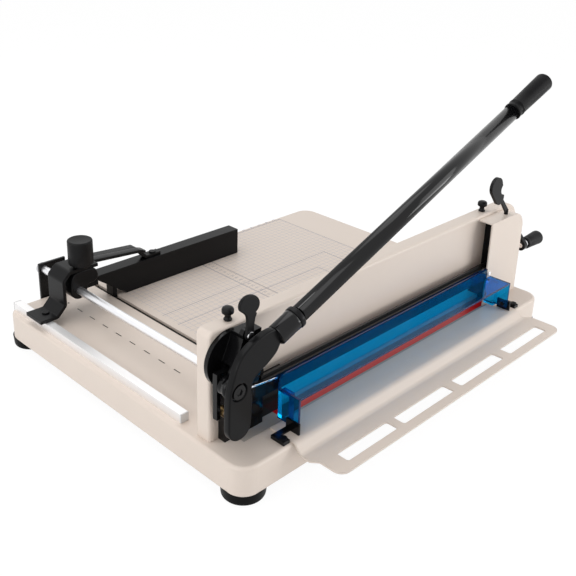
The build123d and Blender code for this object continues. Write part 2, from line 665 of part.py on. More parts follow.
def make_near_paddle():
    """Lock paddle: oval pad, short stem and an eye on its screw."""
    pad = Pos(near_paddle_x, near_paddle_z) * Rot(0, 0, near_paddle_tilt_deg)
    pad *= Ellipse(near_paddle_half_x, near_paddle_half_z)
    eye = Pos(paddle_screw_x, paddle_screw_z) * Circle(paddle_stem_half_low)
    top_x, top_z = near_paddle_x + paddle_stem_shift, near_paddle_z - near_paddle_half_z / 2
    stem = Polygon((paddle_screw_x - paddle_stem_half_low, paddle_screw_z),
                   (paddle_screw_x + paddle_stem_half_low, paddle_screw_z),
                   (top_x + paddle_stem_half_top, top_z), (top_x - paddle_stem_half_top, top_z), align=None)
    paddle = plate_between(pad + eye + stem, paddle_front, paddle_front + paddle_thickness)
    return paddle - rod_along_y(paddle_screw_x, (paddle_front - over, cheek_back + over), paddle_screw_z,
                                paddle_screw_radius + fit_gap)


def make_paddle_screw():
    """Round-head screw that the near paddle turns on."""
    seat = paddle_front - run_gap
    shank = rod_along_y(paddle_screw_x, (seat, cheek_back), paddle_screw_z, paddle_screw_radius)
    return shank + rod_along_y(paddle_screw_x, (seat - paddle_screw_head_height, seat), paddle_screw_z,
                               paddle_screw_head)


def make_far_lock():
    """Kidney-shaped lock paddle on a leaning stem, whose round foot turns in the post's top."""
    foot_top = post_top + lock_foot_height
    foot = rod_along_z(lock_x, lock_y, (post_top - post_wall - over * 2, foot_top), lock_stem_radius)
    high = (lock_x + lock_high[0], post_top + lock_high[1])
    low = (lock_x + lock_low[0], post_top + lock_low[1])
    lobes = Pos(*high) * Circle(lock_high_radius) + Pos(*low) * Circle(lock_low_radius)
    pad = make_hull(lobes.edges())
    pad -= Pos(lock_x + lock_notch[0], post_top + lock_notch[1]) * Circle(lock_notch_radius)
    strap = Polygon((lock_x - lock_strap_half, foot_top - lock_strap_half),
                    (lock_x + lock_strap_half, foot_top),
                    (low[0] + lock_strap_half * 2, low[1]), (low[0], low[1]), align=None)
    thick = lock_pad_thickness / 2
    paddle = plate_between(pad, lock_y - thick, lock_y + thick)
    paddle += plate_between(strap, lock_y - lock_strap_thickness / 2, lock_y + lock_strap_thickness / 2)
    return foot + paddle


def make_post():
    """Far post cover: front, right side and top, open towards the blade and the gantry."""
    low, high = 0, post_top
    width = post_right - post_left
    outline = Pos((post_left + post_right) / 2, (low + high) / 2) * Rectangle(width, high - low)
    corner = outline.vertices().group_by(Axis.Y)[-1].sort_by(Axis.X)[-1]
    outline = fillet(corner, post_corner)
    cover = plate_between(outline, post_front, gantry_front)
    inner = Pos((post_left + post_right - post_wall) / 2 - over, (low + high - post_wall) / 2 - over)
    inner *= Rectangle(width - post_wall + over * 2, high - low - post_wall + over * 2)
    corner = inner.vertices().group_by(Axis.Y)[-1].sort_by(Axis.X)[-1]
    inner = fillet(corner, post_corner - post_wall)
    cover -= plate_between(inner, post_front + post_wall, gantry_front + over)
    cover -= rod_along_z(lock_x, lock_y, (post_top - post_wall - over, post_top + over),
                         lock_stem_radius + fit_gap)
    return cover - rod_along_y(post_screw_x, (post_front - over, post_front + post_wall + over),
                               post_screw_z, post_screw_radius / 2 + fit_gap)


def make_post_screw():
    """Small screw on the front of the post cover."""
    head = rod_along_y(post_screw_x, (post_front - over, post_front), post_screw_z, post_screw_radius)
    return head + rod_along_y(post_screw_x, (post_front, post_front + post_wall), post_screw_z,
                              post_screw_radius / 2)


def make_thumbscrew(x):
    """Mushroom-headed thumbscrew through the cover's top."""
    seat = gantry_top + run_gap
    neck_top = seat + thumb_neck_height
    thread = rod_along_z(x, thumb_y, (gantry_top - thumb_thread_length, seat), thumb_thread_radius)
    neck = rod_along_z(x, thumb_y, (seat, neck_top), thumb_neck_radius)
    neck += rod_along_z(x, thumb_y, (seat, seat + thumb_flange_height), thumb_flange_radius)
    head = rod_along_z(x, thumb_y, (neck_top, neck_top + thumb_head_height), thumb_head_radius)
    head = fillet(head.edges().filter_by(GeomType.CIRCLE), thumb_head_height / 3)
    return thread + neck + head


# Clamp and crank

def make_clamp_bar():
    """Pressing bar behind the blade."""
    bar = block((clamp_left, clamp_right), (clamp_bar_front, clamp_bar_back),
                (clamp_bottom, clamp_bottom + clamp_bar_height))
    for x in clamp_pin_places:
        bar -= rod_along_z(x, clamp_pin_y, (clamp_bottom + over, clamp_bottom + clamp_bar_height + over),
                           clamp_pin_radius + fit_gap)
    return bar


def make_clamp_pins():
    """Guide pins that stand on the clamp bar."""
    return group([rod_along_z(x, clamp_pin_y, (clamp_bottom + over, clamp_pin_top), clamp_pin_radius)
                  for x in clamp_pin_places])


def make_clamp_bushes():
    """Bushes inside the beam that the guide pins slide in."""
    bushes = []
    for x in clamp_pin_places:
        bush = block((x - bush_half, x + bush_half),
                     (gantry_front + gantry_wall, gantry_back - gantry_wall), (bush_bottom, bush_top))
        bush -= rod_along_z(x, clamp_pin_y, (bush_bottom - over, bush_top + over), clamp_pin_radius + fit_gap)
        bush -= rod_along_x((x - bush_half - over, x + bush_half + over), shaft_y, shaft_z,
                            shaft_radius + run_gap)
        bushes.append(bush)
    return group(bushes)


def involute_point(radius, base_radius, start_angle, side):
    """A point of an involute flank at a radius, turned to one side of its tooth."""
    roll = math.sqrt((radius / base_radius) ** 2 - 1)
    angle = start_angle - (roll - math.atan(roll))
    return (radius * math.cos(side * angle), radius * math.sin(side * angle))


def pinion_outline():
    """Involute pinion with one tooth pointing along the sketch's first axis."""
    pressure = math.radians(pressure_angle_deg)
    base_radius = pinion_radius * math.cos(pressure)
    involute_at_pitch = math.tan(pressure) - pressure
    half_tooth = (math.pi / 4 * gear_module - tooth_backlash) / pinion_radius
    start_angle = half_tooth + involute_at_pitch
    tip = pinion_radius + pinion_addendum * gear_module
    root = pinion_radius - (rack_addendum + root_gap) * gear_module
    radii = (base_radius, pinion_radius, tip)
    lower = [involute_point(radius, base_radius, start_angle, -1) for radius in radii]
    upper = [involute_point(radius, base_radius, start_angle, 1) for radius in reversed(radii)]
    foot = root * math.cos(start_angle)
    side = root * math.sin(start_angle)
    tooth = Polygon((0, 0), (foot, -side), *lower, *upper, (foot, side), align=None)
    gear = Circle(root)
    for index in range(pinion_teeth):
        gear += Rot(0, 0, 360 * index / pinion_teeth) * tooth
    return gear


def side_plane(x):
    """A sketch plane across X, with Y away from the operator and Z up."""
    return Plane(origin=(x, 0, 0), x_dir=(0, 1, 0), z_dir=(1, 0, 0))


def make_clamp_shaft():
    """Cross shaft with a pinion at each rack."""
    start = bearing_places[0] - bearing_half
    shaft = rod_along_x((start, crank_grip_x), shaft_y, shaft_z, shaft_radius)
    facing = Rot(0, 0, 180) * pinion_outline()
    for x in rack_places:
        plane = Plane(origin=(x - pinion_width / 2, shaft_y, shaft_z), x_dir=(0, 1, 0), z_dir=(1, 0, 0))
        shaft += extrude(plane * facing, amount=pinion_width)
    return shaft


def make_racks():
    """Two racks that stand on the clamp bar and mesh with the pinions."""
    pitch = math.pi * gear_module
    pitch_y = shaft_y - pinion_radius
    root_y = pitch_y - (pinion_addendum + root_gap) * gear_module
    tip_y = pitch_y + rack_addendum * gear_module
    slope = math.tan(math.radians(pressure_angle_deg))
    half = pitch / 4 - tooth_backlash
    root_half = half + (pitch_y - root_y) * slope
    tip_half = half - (tip_y - pitch_y) * slope
    bottom = clamp_bottom + clamp_bar_height
    profile = Polygon((clamp_bar_front, bottom), (root_y, bottom), (root_y, rack_top),
                      (clamp_bar_front, rack_top), align=None)
    first = math.ceil((bottom - shaft_z) / pitch) + 1
    last = math.floor((rack_top - shaft_z) / pitch) - 1
    for index in range(first, last):
        z = shaft_z + (index + 1 / 2) * pitch
        profile += Polygon((root_y - fit_gap, z - root_half), (tip_y, z - tip_half), (tip_y, z + tip_half),
                           (root_y - fit_gap, z + root_half), align=None)
    racks = []
    for x in rack_places:
        racks.append(extrude(side_plane(x - rack_width / 2) * profile, amount=rack_width))
    return group(racks)


def make_bearings():
    """Pillow blocks inside the beam that carry the clamp shaft."""
    blocks = []
    for x in bearing_places:
        pillow = block((x - bearing_half, x + bearing_half),
                       (gantry_front + gantry_wall, gantry_back - gantry_wall), (bearing_bottom, bearing_top))
        blocks.append(pillow - rod_along_x((x - bearing_half - over, x + bearing_half + over), shaft_y,
                                           shaft_z, shaft_radius + fit_gap))
    return group(blocks)


def make_crank_arm():
    """Flat arm from the shaft to the grip's spindle."""
    reach_y, reach_z = grip_axis_y - shaft_y, grip_axis_z - shaft_z
    length = math.hypot(reach_y, reach_z) + crank_arm_width
    angle = math.degrees(math.atan2(reach_z, reach_y))
    middle = Pos((shaft_y + grip_axis_y) / 2, (shaft_z + grip_axis_z) / 2) * Rot(0, 0, angle)
    arm = extrude(side_plane(crank_arm_x) * (middle * SlotOverall(length, crank_arm_width)),
                  amount=crank_arm_thickness)
    arm -= rod_along_x((crank_arm_x - over, crank_grip_x + over), shaft_y, shaft_z, shaft_radius + fit_gap)
    return arm - rod_along_x((crank_arm_x - over, crank_grip_x + over), grip_axis_y, grip_axis_z,
                             crank_spindle_radius + fit_gap)


def make_crank_spindle():
    """Spindle that carries the grip, with its bright collar."""
    spindle = rod_along_x((crank_arm_x, crank_end - crank_spindle_inset), grip_axis_y, grip_axis_z,
                          crank_spindle_radius)
    return spindle + rod_along_x((crank_grip_x, crank_grip_x + crank_collar_length), grip_axis_y,
                                 grip_axis_z, crank_collar_radius)


def make_crank_grip():
    """Tapered grip that spins on the spindle, fatter towards its end."""
    start = crank_grip_x + crank_collar_length + run_gap
    length = crank_end - start
    cone = Pos(start + length / 2, grip_axis_y, grip_axis_z) * Rot(0, 90, 0)
    cone *= Cone(crank_grip_small, crank_grip_large, length)
    cone = fillet(cone.edges().sort_by(Axis.X)[-1], grip_round)
    return cone - rod_along_x((start - over, crank_end - over), grip_axis_y, grip_axis_z,
                              crank_spindle_radius + fit_gap)


# Guard

def make_guard():
    """Clear guard: upright panel, shelf, and two end walls with a thick block at each hinge."""
    back = guard_back + guard_wall / 2
    guard = block((guard_left, post_left - guard_panel_gap), (guard_back - guard_wall / 2, back),
                  (guard_shelf_top - guard_wall, guard_top))
    corner = guard.edges().filter_by(Axis.Y).group_by(Axis.Z)[-1].sort_by(Axis.X)[0]
    guard = fillet(corner, guard_corner)
    guard += block((guard_left, guard_right), (guard_front, back),
                   (guard_shelf_top - guard_wall, guard_shelf_top))
    for outer, inward in ((guard_left, 1), (guard_right, -1)):
        inner = outer + inward * guard_wall
        guard += block((outer, inner), (guard_front, back), (guard_foot, guard_shelf_top))
        guard += block((outer, outer + inward * guard_block_width), (back - guard_block_depth, back),
                       (guard_foot, guard_block_top))
        guard -= rod_along_x((outer - inward * over, inner + inward * over), guard_hinge_y, guard_hinge_z,
                             guard_pin_radius + fit_gap)
    return guard


def bracket_face(side):
    """The bracket's face beside the guard's end wall; side is -1 at the near end, 1 at the far end."""
    return guard_left - run_gap if side < 0 else guard_right + run_gap


def bracket_screw_places():
    """Screws of the guard's brackets, in the feet that stand on the base."""
    return [(bracket_face(side) + side * (bracket_reach - bracket_foot_width / 2),
             bracket_front + bracket_screw_from_front) for side in (-1, 1)]


def make_guard_bracket(side):
    """Bent bracket: ear with the hinge pin, limb over the tray's tab and a foot on the base."""
    face = bracket_face(side)
    end = face + side * bracket_reach
    top = tray_wall + bracket_wall
    bracket = block((face, face + side * bracket_wall), (bracket_front, bracket_back),
                    (tray_wall, guard_hinge_z + bracket_ear_above_pin))
    bracket += block((face, end), (bracket_limb_front, bracket_back), (tray_wall, top))
    bracket += block((end - side * bracket_foot_width, end), (bracket_front, bracket_back), (0, top))
    bracket += rod_along_x((face + side * bracket_wall, face - side * (guard_wall + over)), guard_hinge_y,
                           guard_hinge_z, guard_pin_radius)
    x, y = bracket_screw_places()[0 if side < 0 else 1]
    return bracket - rod_along_z(x, y, (-over, top + over), bracket_screw_radius + fit_gap)


def make_bracket_screws():
    """Screws that hold the guard's brackets to the base."""
    screws = []
    top = tray_wall + bracket_wall
    for x, y in bracket_screw_places():
        head = rod_along_z(x, y, (top, top + screw_cap), bracket_screw_head)
        screws.append(head + rod_along_z(x, y, (-base_top_wall, top), bracket_screw_radius))
    return group(screws)


# Offcut tray

def tray_section():
    """Side view of the tray: flat tab, S bend and lower shelf."""
    half = tray_wall / 2
    low = tray_shelf_top - half
    path = FilletPolyline((tray_back, half), (tray_ridge, half), (tray_bend, low), (tray_front, low),
                          radius=tray_bend_radius)
    return trace(path, tray_wall)


def tray_plan():
    """Plan of the tray: narrower tab, flared shelf on the right and a jog on the left."""
    inner_left = tray_left + tray_jog_inset
    points = [(tray_left, tray_back + over), (tray_left, tray_jog_back), (inner_left, tray_jog_front),
              (inner_left, tray_front), (tray_right, tray_front), (tray_right, tray_flare_front),
              (tray_tab_right, tray_flare_back), (tray_tab_right, tray_back + over)]
    plan = make_face(Polyline(*points, close=True))
    corners = plan.vertices().group_by(Axis.Y)[0]
    plan = fillet(corners, tray_corner)
    jogs = [v for v in plan.vertices() if tray_flare_front - over > v.Y > tray_jog_front - over
            or tray_jog_back + over < v.Y < tray_flare_back + over]
    return fillet(jogs, tray_jog_round)


def make_tray():
    """Formed sheet tray with four long slots."""
    tray = extrude(side_plane(tray_left) * tray_section(), amount=tray_right - tray_left)
    tall = base_height
    tray &= Pos(0, 0, -tall) * extrude(tray_plan(), amount=tall * 2)
    length = tray_right - tray_left
    for start, end in tray_slots_share:
        x0, x1 = tray_left + start * length, tray_left + end * length
        slot = Pos((x0 + x1) / 2, (tray_slot_back + tray_slot_front) / 2, -tall)
        slot *= RectangleRounded(x1 - x0, tray_slot_back - tray_slot_front, tray_slot_round)
        tray -= extrude(slot, amount=tall)
    for x, y in tray_screw_places():
        tray -= rod_along_z(x, y, (-over, tray_wall + over), tray_screw_radius + fit_gap)
    return tray


def tray_screw_places():
    """Screws along the tab, under the guard."""
    pitch = (tray_tab_right - tray_left) / (tray_screw_count + 1)
    y = (tray_back + tray_ridge) / 2
    return [(tray_left + pitch * (index + 1), y) for index in range(tray_screw_count)]


def make_tray_screws():
    """Countersunk screws of the tab, flush with it."""
    return group([rod_along_z(x, y, (-base_top_wall, tray_wall), tray_screw_radius)
                  for x, y in tray_screw_places()])


# Guide rod, its bracket and the side rail

def make_rod():
    """Ground guide rod from the near leg block to the rear bracket."""
    return rod_along_y(rod_x, (gantry_mid + run_gap, rod_bracket_back), rod_z, rod_radius)


def rod_bracket_screw_places():
    """Screws of the rear bracket in the base's back wall."""
    inset = (rod_bracket_right - rod_bracket_left) / 4
    z = rod_bracket_bottom / 2
    return [(rod_bracket_left + inset, z), (rod_bracket_right - inset, z)]


def make_rod_bracket():
    """Upright plate on the base's back wall."""
    plate = block((rod_bracket_left, rod_bracket_right), (base_back, base_back + rod_bracket_wall),
                  (rod_bracket_bottom, rod_bracket_top))
    through = (base_back - over, base_back + rod_bracket_wall + over)
    plate -= rod_along_y(rod_x, through, rod_z, rod_radius + fit_gap)
    plate -= rod_along_y(rod_bracket_hole_x, through, rod_z, rod_bracket_hole_radius)
    for x, z in rod_bracket_screw_places():
        plate -= rod_along_y(x, through, z, foot_screw_radius + fit_gap)
    return plate


def make_rod_nut():
    """Round nut that holds the rod against the bracket."""
    start = base_back + rod_bracket_wall
    nut = rod_along_y(rod_x, (start, start + rod_nut_height), rod_z, rod_nut_radius)
    return nut - rod_along_y(rod_x, (start - over, start + rod_nut_height + over), rod_z,
                             rod_radius + fit_gap)


def make_rod_bracket_screws():
    """Screws of the rear bracket."""
    start = base_back + rod_bracket_wall
    screws = []
    for x, z in rod_bracket_screw_places():
        head = rod_along_y(x, (start, start + over), z, foot_screw_head)
        screws.append(head + rod_along_y(x, (base_back - base_side_wall, start), z, foot_screw_radius))
    return group(screws)


def make_rail():
    """Square aluminium tube along the table's near side."""
    high = rail_size
    rail = block((rail_left, rail_left + rail_size), (rail_front, rail_back), (0, high))
    return rail - block((rail_left + rail_wall, rail_left + rail_size - rail_wall),
                        (rail_front - over, rail_back + over), (rail_wall, high - rail_wall))


def make_rail_plugs():
    """Plastic plugs in the rail's ends."""
    plugs = []
    inner = (rail_left + rail_wall + fit_gap, rail_left + rail_size - rail_wall - fit_gap)
    tall = (rail_wall + fit_gap, rail_size - rail_wall - fit_gap)
    for end, outward in ((rail_front, -1), (rail_back, 1)):
        cap = block((rail_left, rail_left + rail_size), (end, end + outward * over), (0, rail_size))
        plugs.append(cap + block(inner, (end, end - outward * plug_length), tall))
    return group(plugs)


# Back gauge

def strap_section(points):
    """Front view of a bent strap along its middle line."""
    return trace(FilletPolyline(*points, radius=strap_thickness * strap_bend_share), strap_thickness)


def make_strap():
    """Bent strap: foot on the rail, shoulder over the rod, and an arm down to the fence."""
    half = strap_thickness / 2
    foot_z = rail_size + run_gap + half
    fence_z = fence_top + half
    shoulder = strap_top - half
    shared = [(strap_foot_left, foot_z), (strap_riser_x - strap_low_bend, foot_z),
              (strap_riser_x, foot_z + strap_low_bend), (strap_riser_x, shoulder - strap_high_bend),
              (strap_riser_x + strap_high_bend, shoulder), (strap_knee_x, shoulder)]
    strap = plate_between(strap_section(shared), gauge_front, gauge_back)
    arm = [(strap_knee_x - half, shoulder), (strap_arm_x, strap_arm_z), (strap_land_x, fence_z),
           (strap_arm_end, fence_z)]
    strap += plate_between(strap_section(arm), strap_arm_front, gauge_back)
    strap -= rod_along_z(gauge_knob_x, gauge_knob_y, (shoulder - strap_high_bend, strap_top + over),
                         gauge_screw_radius + fit_gap)
    for x, y in strap_screw_places():
        low = foot_z - half if x < rod_x else fence_z - half
        strap -= rod_along_z(x, y, (low - over, low + strap_thickness + over), foot_screw_radius + fit_gap)
    return strap


def strap_screw_places():
    """Screws in the strap's foot and on the fence."""
    return [(strap_foot_left + strap_foot_screw_inset, (gauge_front + gauge_back) / 2),
            (strap_arm_end - strap_fence_screw_inset, (strap_arm_front + gauge_back) / 2)]


def make_strap_screws():
    """Screw in the strap's foot, and a screw into the fence's top."""
    (foot_x, foot_y), (fence_x, fence_y) = strap_screw_places()
    foot_low = rail_size + run_gap
    foot_high = foot_low + strap_thickness
    foot = rod_along_z(foot_x, foot_y, (foot_low, foot_high), foot_screw_radius)
    foot += rod_along_z(foot_x, foot_y, (foot_high, foot_high + screw_cap), foot_screw_head)
    high = fence_top + strap_thickness
    top = rod_along_z(fence_x, fence_y, (fence_top - fence_wall, high), foot_screw_radius)
    top += rod_along_z(fence_x, fence_y, (high, high + screw_cap), foot_screw_head)
    return group([foot, top])


def make_sleeve():
    """Sleeve that slides on the rod, with a block under the strap that meets the fence's beak."""
    under_strap = strap_top - strap_thickness
    sleeve = rod_along_y(rod_x, (sleeve_front, sleeve_back), rod_z, sleeve_radius)
    sleeve += block((rod_x, fence_beak_left), (fence_front, fence_back), (sleeve_block_low, fence_top))
    sleeve += block((rod_x, strap_knee_x), (sleeve_front, sleeve_back), (sleeve_block_high, under_strap))
    sleeve += block((rod_x, strap_knee_x), (sleeve_front, sleeve_back), (sleeve_block_low, sleeve_block_high))
    sleeve -= rod_along_y(rod_x, (sleeve_front - over, fence_back + over), rod_z, rod_radius + fit_gap)
    return sleeve - rod_along_z(gauge_knob_x, gauge_knob_y, (gauge_screw_low, strap_top),
                                gauge_screw_radius + fit_gap)


def make_gauge_knob():
    """Lock knob whose screw pinches the sleeve's block."""
    seat = strap_top + run_gap
    neck_top = seat + gauge_neck_height
    screw = rod_along_z(gauge_knob_x, gauge_knob_y, (gauge_screw_low + run_gap, seat), gauge_screw_radius)
    neck = rod_along_z(gauge_knob_x, gauge_knob_y, (seat, neck_top), gauge_neck_radius)
    head = rod_along_z(gauge_knob_x, gauge_knob_y, (neck_top, neck_top + gauge_knob_height),
                       gauge_knob_radius)
    head = fillet(head.edges().filter_by(GeomType.CIRCLE), over)
    return screw + neck + head


def make_fence():
    """Deep straight fence, hollow from below, with a beak that rises to the sleeve."""
    outer = Polygon((fence_left, fence_lift), (fence_right, fence_lift), (fence_right, fence_top),
                    (fence_beak_left, fence_top), (fence_beak_left, fence_beak_low), align=None)
    under_top = fence_top - fence_wall
    inner = Polygon((fence_left + fence_wall, -over), (fence_right - fence_wall, -over),
                    (fence_right - fence_wall, under_top), (fence_beak_left + fence_beak_wall, under_top),
                    (fence_left + fence_wall, fence_lift + fence_wall), align=None)
    fence = plate_between(outer, fence_front, fence_back)
    fence -= plate_between(inner, fence_front + fence_wall, fence_back - fence_wall)
    fence -= block((groove_x - groove_width / 2, groove_x + groove_width / 2),
                   (fence_front + fence_wall, fence_back - fence_wall), (fence_lift, under_top))
    x, y = strap_screw_places()[1]
    return fence - rod_along_z(x, y, (under_top - over, fence_top + over), foot_screw_radius + fit_gap)


def make_fence_key():
    """Plastic key under the fence that runs in the table's groove."""
    return block((groove_x - groove_width / 2 + run_gap, groove_x + groove_width / 2 - run_gap),
                 (fence_front + fence_wall + fit_gap, fence_back - fence_wall - fit_gap),
                 (-key_reach, fence_top - fence_wall))


def build():
    """Every node of the part by name."""
    wall_gap = gantry_wall + run_gap
    return {
        "base_casting": make_base(),
        "bed_plate": make_bed(),
        "cutting_stick": make_stick(),
        "feet": make_feet(),
        "foot_screws": make_foot_screws(),
        "gantry_cover": make_gantry(),
        "near_leg_block": make_leg_block(gantry_left + wall_gap, leg_inner_left),
        "far_leg_block": make_leg_block(leg_inner_right, gantry_right - wall_gap),
        "leg_bolts": make_leg_bolts(),
        "near_guide": make_guide(0, key_x - guide_outer, key_x + guide_inner, near_guide_top),
        "far_guide": make_guide(guide_span, far_key_x - far_guide_inner, far_key_x + far_guide_outer,
                                far_guide_top),
        "side_housing": make_housing(),
        "pivot_bolt": make_pivot_bolt(),
        "lever_arm": make_lever_arm(),
        "handle_tube": make_handle_tube(),
        "handle_collar": make_handle_collar(),
        "handle_grip": make_handle_grip(),
        "drive_pin": make_drive_pin(),
        "drive_roller": make_drive_roller(),
        "blade_carrier": make_carrier(),
        "blade": make_blade(),
        "blade_screws": make_blade_screws(),
        "near_lock_paddle": make_near_paddle(),
        "paddle_screw": make_paddle_screw(),
        "far_lock_paddle": make_far_lock(),
        "far_post_cover": make_post(),
        "post_screw": make_post_screw(),
        "near_thumbscrew": make_thumbscrew(thumb_near_x),
        "far_thumbscrew": make_thumbscrew(thumb_far_x),
        "clamp_bar": make_clamp_bar(),
        "clamp_guide_pins": make_clamp_pins(),
        "clamp_bushes": make_clamp_bushes(),
        "clamp_racks": make_racks(),
        "clamp_shaft": make_clamp_shaft(),
        "shaft_bearings": make_bearings(),
        "crank_arm": make_crank_arm(),
        "crank_spindle": make_crank_spindle(),
        "crank_grip": make_crank_grip(),
        "blade_guard": make_guard(),
        "near_guard_bracket": make_guard_bracket(-1),
        "far_guard_bracket": make_guard_bracket(1),
        "bracket_screws": make_bracket_screws(),
        "offcut_tray": make_tray(),
        "tray_screws": make_tray_screws(),
        "guide_rod": make_rod(),
        "rod_bracket": make_rod_bracket(),
        "rod_nut": make_rod_nut(),
        "rod_bracket_screws": make_rod_bracket_screws(),
        "side_rail": make_rail(),
        "rail_plugs": make_rail_plugs(),
        "gauge_strap": make_strap(),
        "gauge_screws": make_strap_screws(),
        "gauge_sleeve": make_sleeve(),
        "gauge_knob": make_gauge_knob(),
        "gauge_fence": make_fence(),
        "fence_key": make_fence_key(),
    }


os.makedirs("parts", exist_ok=True)
for node_name, node_shape in build().items():
    save(node_shape, node_name)
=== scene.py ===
"""Stack paper cutter: finishes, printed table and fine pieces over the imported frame, in metres."""
import math

import bpy
import numpy as np
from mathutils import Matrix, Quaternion, Vector
from mathutils.geometry import tessellate_polygon


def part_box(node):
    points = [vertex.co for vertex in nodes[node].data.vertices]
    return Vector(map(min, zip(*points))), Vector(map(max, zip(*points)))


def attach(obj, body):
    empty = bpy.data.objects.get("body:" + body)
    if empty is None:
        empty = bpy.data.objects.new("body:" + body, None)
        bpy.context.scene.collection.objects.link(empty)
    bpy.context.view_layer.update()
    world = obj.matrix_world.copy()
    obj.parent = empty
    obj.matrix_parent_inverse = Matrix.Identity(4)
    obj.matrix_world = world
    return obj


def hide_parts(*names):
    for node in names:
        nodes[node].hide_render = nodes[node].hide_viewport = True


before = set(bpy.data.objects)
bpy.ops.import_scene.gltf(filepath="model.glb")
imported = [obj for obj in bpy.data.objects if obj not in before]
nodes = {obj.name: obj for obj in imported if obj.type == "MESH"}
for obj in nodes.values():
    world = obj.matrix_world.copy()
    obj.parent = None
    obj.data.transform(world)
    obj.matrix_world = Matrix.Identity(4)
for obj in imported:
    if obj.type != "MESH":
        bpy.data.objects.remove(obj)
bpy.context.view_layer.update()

MM = 0.001

# Places that the frame gives
table_low, table_high = (Vector(c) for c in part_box("base_casting"))
table_z = table_high.z
# The source's own zero lies on the table top, so many millimetres in from the base's near front corner
zero_right, zero_back = 170, 254
work_zero = np.array([table_low.x + zero_right * MM, table_low.y + zero_back * MM, table_z])


# Materials

# Noise of the coated skin in waves per metre, the softness of clear coats, and each bump's strength and depth
slow_waves, middle_waves = 9.0, 60.0
coat_roughness = 0.1
skin_bump, skin_bump_depth = 0.3, 0.0004
grain_bump, grain_bump_depth = 0.1, 0.0002
acrylic_bump, acrylic_bump_depth = 0.05, 0.0003
# The guard's colour, its share of clearness and how it bends light, and the samples that round an edge
acrylic_blue, acrylic_clearness, acrylic_bending = (0.003, 0.38, 0.84), 0.95, 1.25
bevel_samples = 4


def new_group(name, inputs, outputs):
    """An empty shader node group with named float, colour or vector sockets."""
    kinds = {"f": "NodeSocketFloat", "c": "NodeSocketColor", "v": "NodeSocketVector"}
    group = bpy.data.node_groups.new(name, "ShaderNodeTree")
    for label, kind, value in inputs:
        group.interface.new_socket(label, in_out="INPUT", socket_type=kinds[kind]).default_value = value
    for label, kind in outputs:
        group.interface.new_socket(label, in_out="OUTPUT", socket_type=kinds[kind])
    return group, group.nodes.new("NodeGroupInput"), group.nodes.new("NodeGroupOutput")


def math_node(tree, operation, first, second, clamp=False):
    """One Math node; a number or a socket for each input."""
    node = tree.nodes.new("ShaderNodeMath")
    node.operation = operation
    node.use_clamp = clamp
    for index, value in enumerate((first, second)):
        if isinstance(value, (int, float)):
            node.inputs[index].default_value = value
        else:
            tree.links.new(value, node.inputs[index])
    return node.outputs[0]


def noise_node(tree, vector, scale, detail=3.0, rough=0.55):
    """One 3D noise texture read on a vector socket."""
    node = tree.nodes.new("ShaderNodeTexNoise")
    node.inputs["Detail"].default_value = detail
    node.inputs["Roughness"].default_value = rough
    if isinstance(scale, (int, float)):
        node.inputs["Scale"].default_value = scale
    else:
        tree.links.new(scale, node.inputs["Scale"])
    tree.links.new(vector, node.inputs["Vector"])
    return node.outputs["Fac"]


def make_skin_group():
    """Coated skin: slow tone drift, fine orange peel and uneven gloss, all from noise of three sizes."""
    group, inside, outside = new_group(
        "coated_skin",
        [("Colour", "c", (0.5, 0.5, 0.5, 1)), ("Tone drift", "f", 0.05), ("Roughness", "f", 0.4),
         ("Gloss drift", "f", 0.08), ("Peel size", "f", 900.0), ("Peel depth", "f", 0.1)],
        [("Colour", "c"), ("Roughness", "f"), ("Height", "f")])
    place = group.nodes.new("ShaderNodeTexCoord").outputs["Object"]
    slow = noise_node(group, place, slow_waves)
    middle = noise_node(group, place, middle_waves)
    fine = noise_node(group, place, inside.outputs["Peel size"], 2.0)
    both = math_node(group, "ADD", slow, middle)
    centred = math_node(group, "SUBTRACT", both, 1.0)
    drift = math_node(group, "MULTIPLY", centred, inside.outputs["Tone drift"])
    factor = math_node(group, "ADD", drift, 1.0)
    tint = group.nodes.new("ShaderNodeVectorMath")
    tint.operation = "SCALE"
    group.links.new(inside.outputs["Colour"], tint.inputs[0])
    group.links.new(factor, tint.inputs["Scale"])
    group.links.new(tint.outputs[0], outside.inputs["Colour"])
    uneven = math_node(group, "SUBTRACT", middle, 0.5)
    gloss = math_node(group, "MULTIPLY", uneven, inside.outputs["Gloss drift"])
    rough = math_node(group, "ADD", gloss, inside.outputs["Roughness"], clamp=True)
    group.links.new(rough, outside.inputs["Roughness"])
    height = math_node(group, "MULTIPLY", fine, inside.outputs["Peel depth"])
    group.links.new(height, outside.inputs["Height"])
    return group


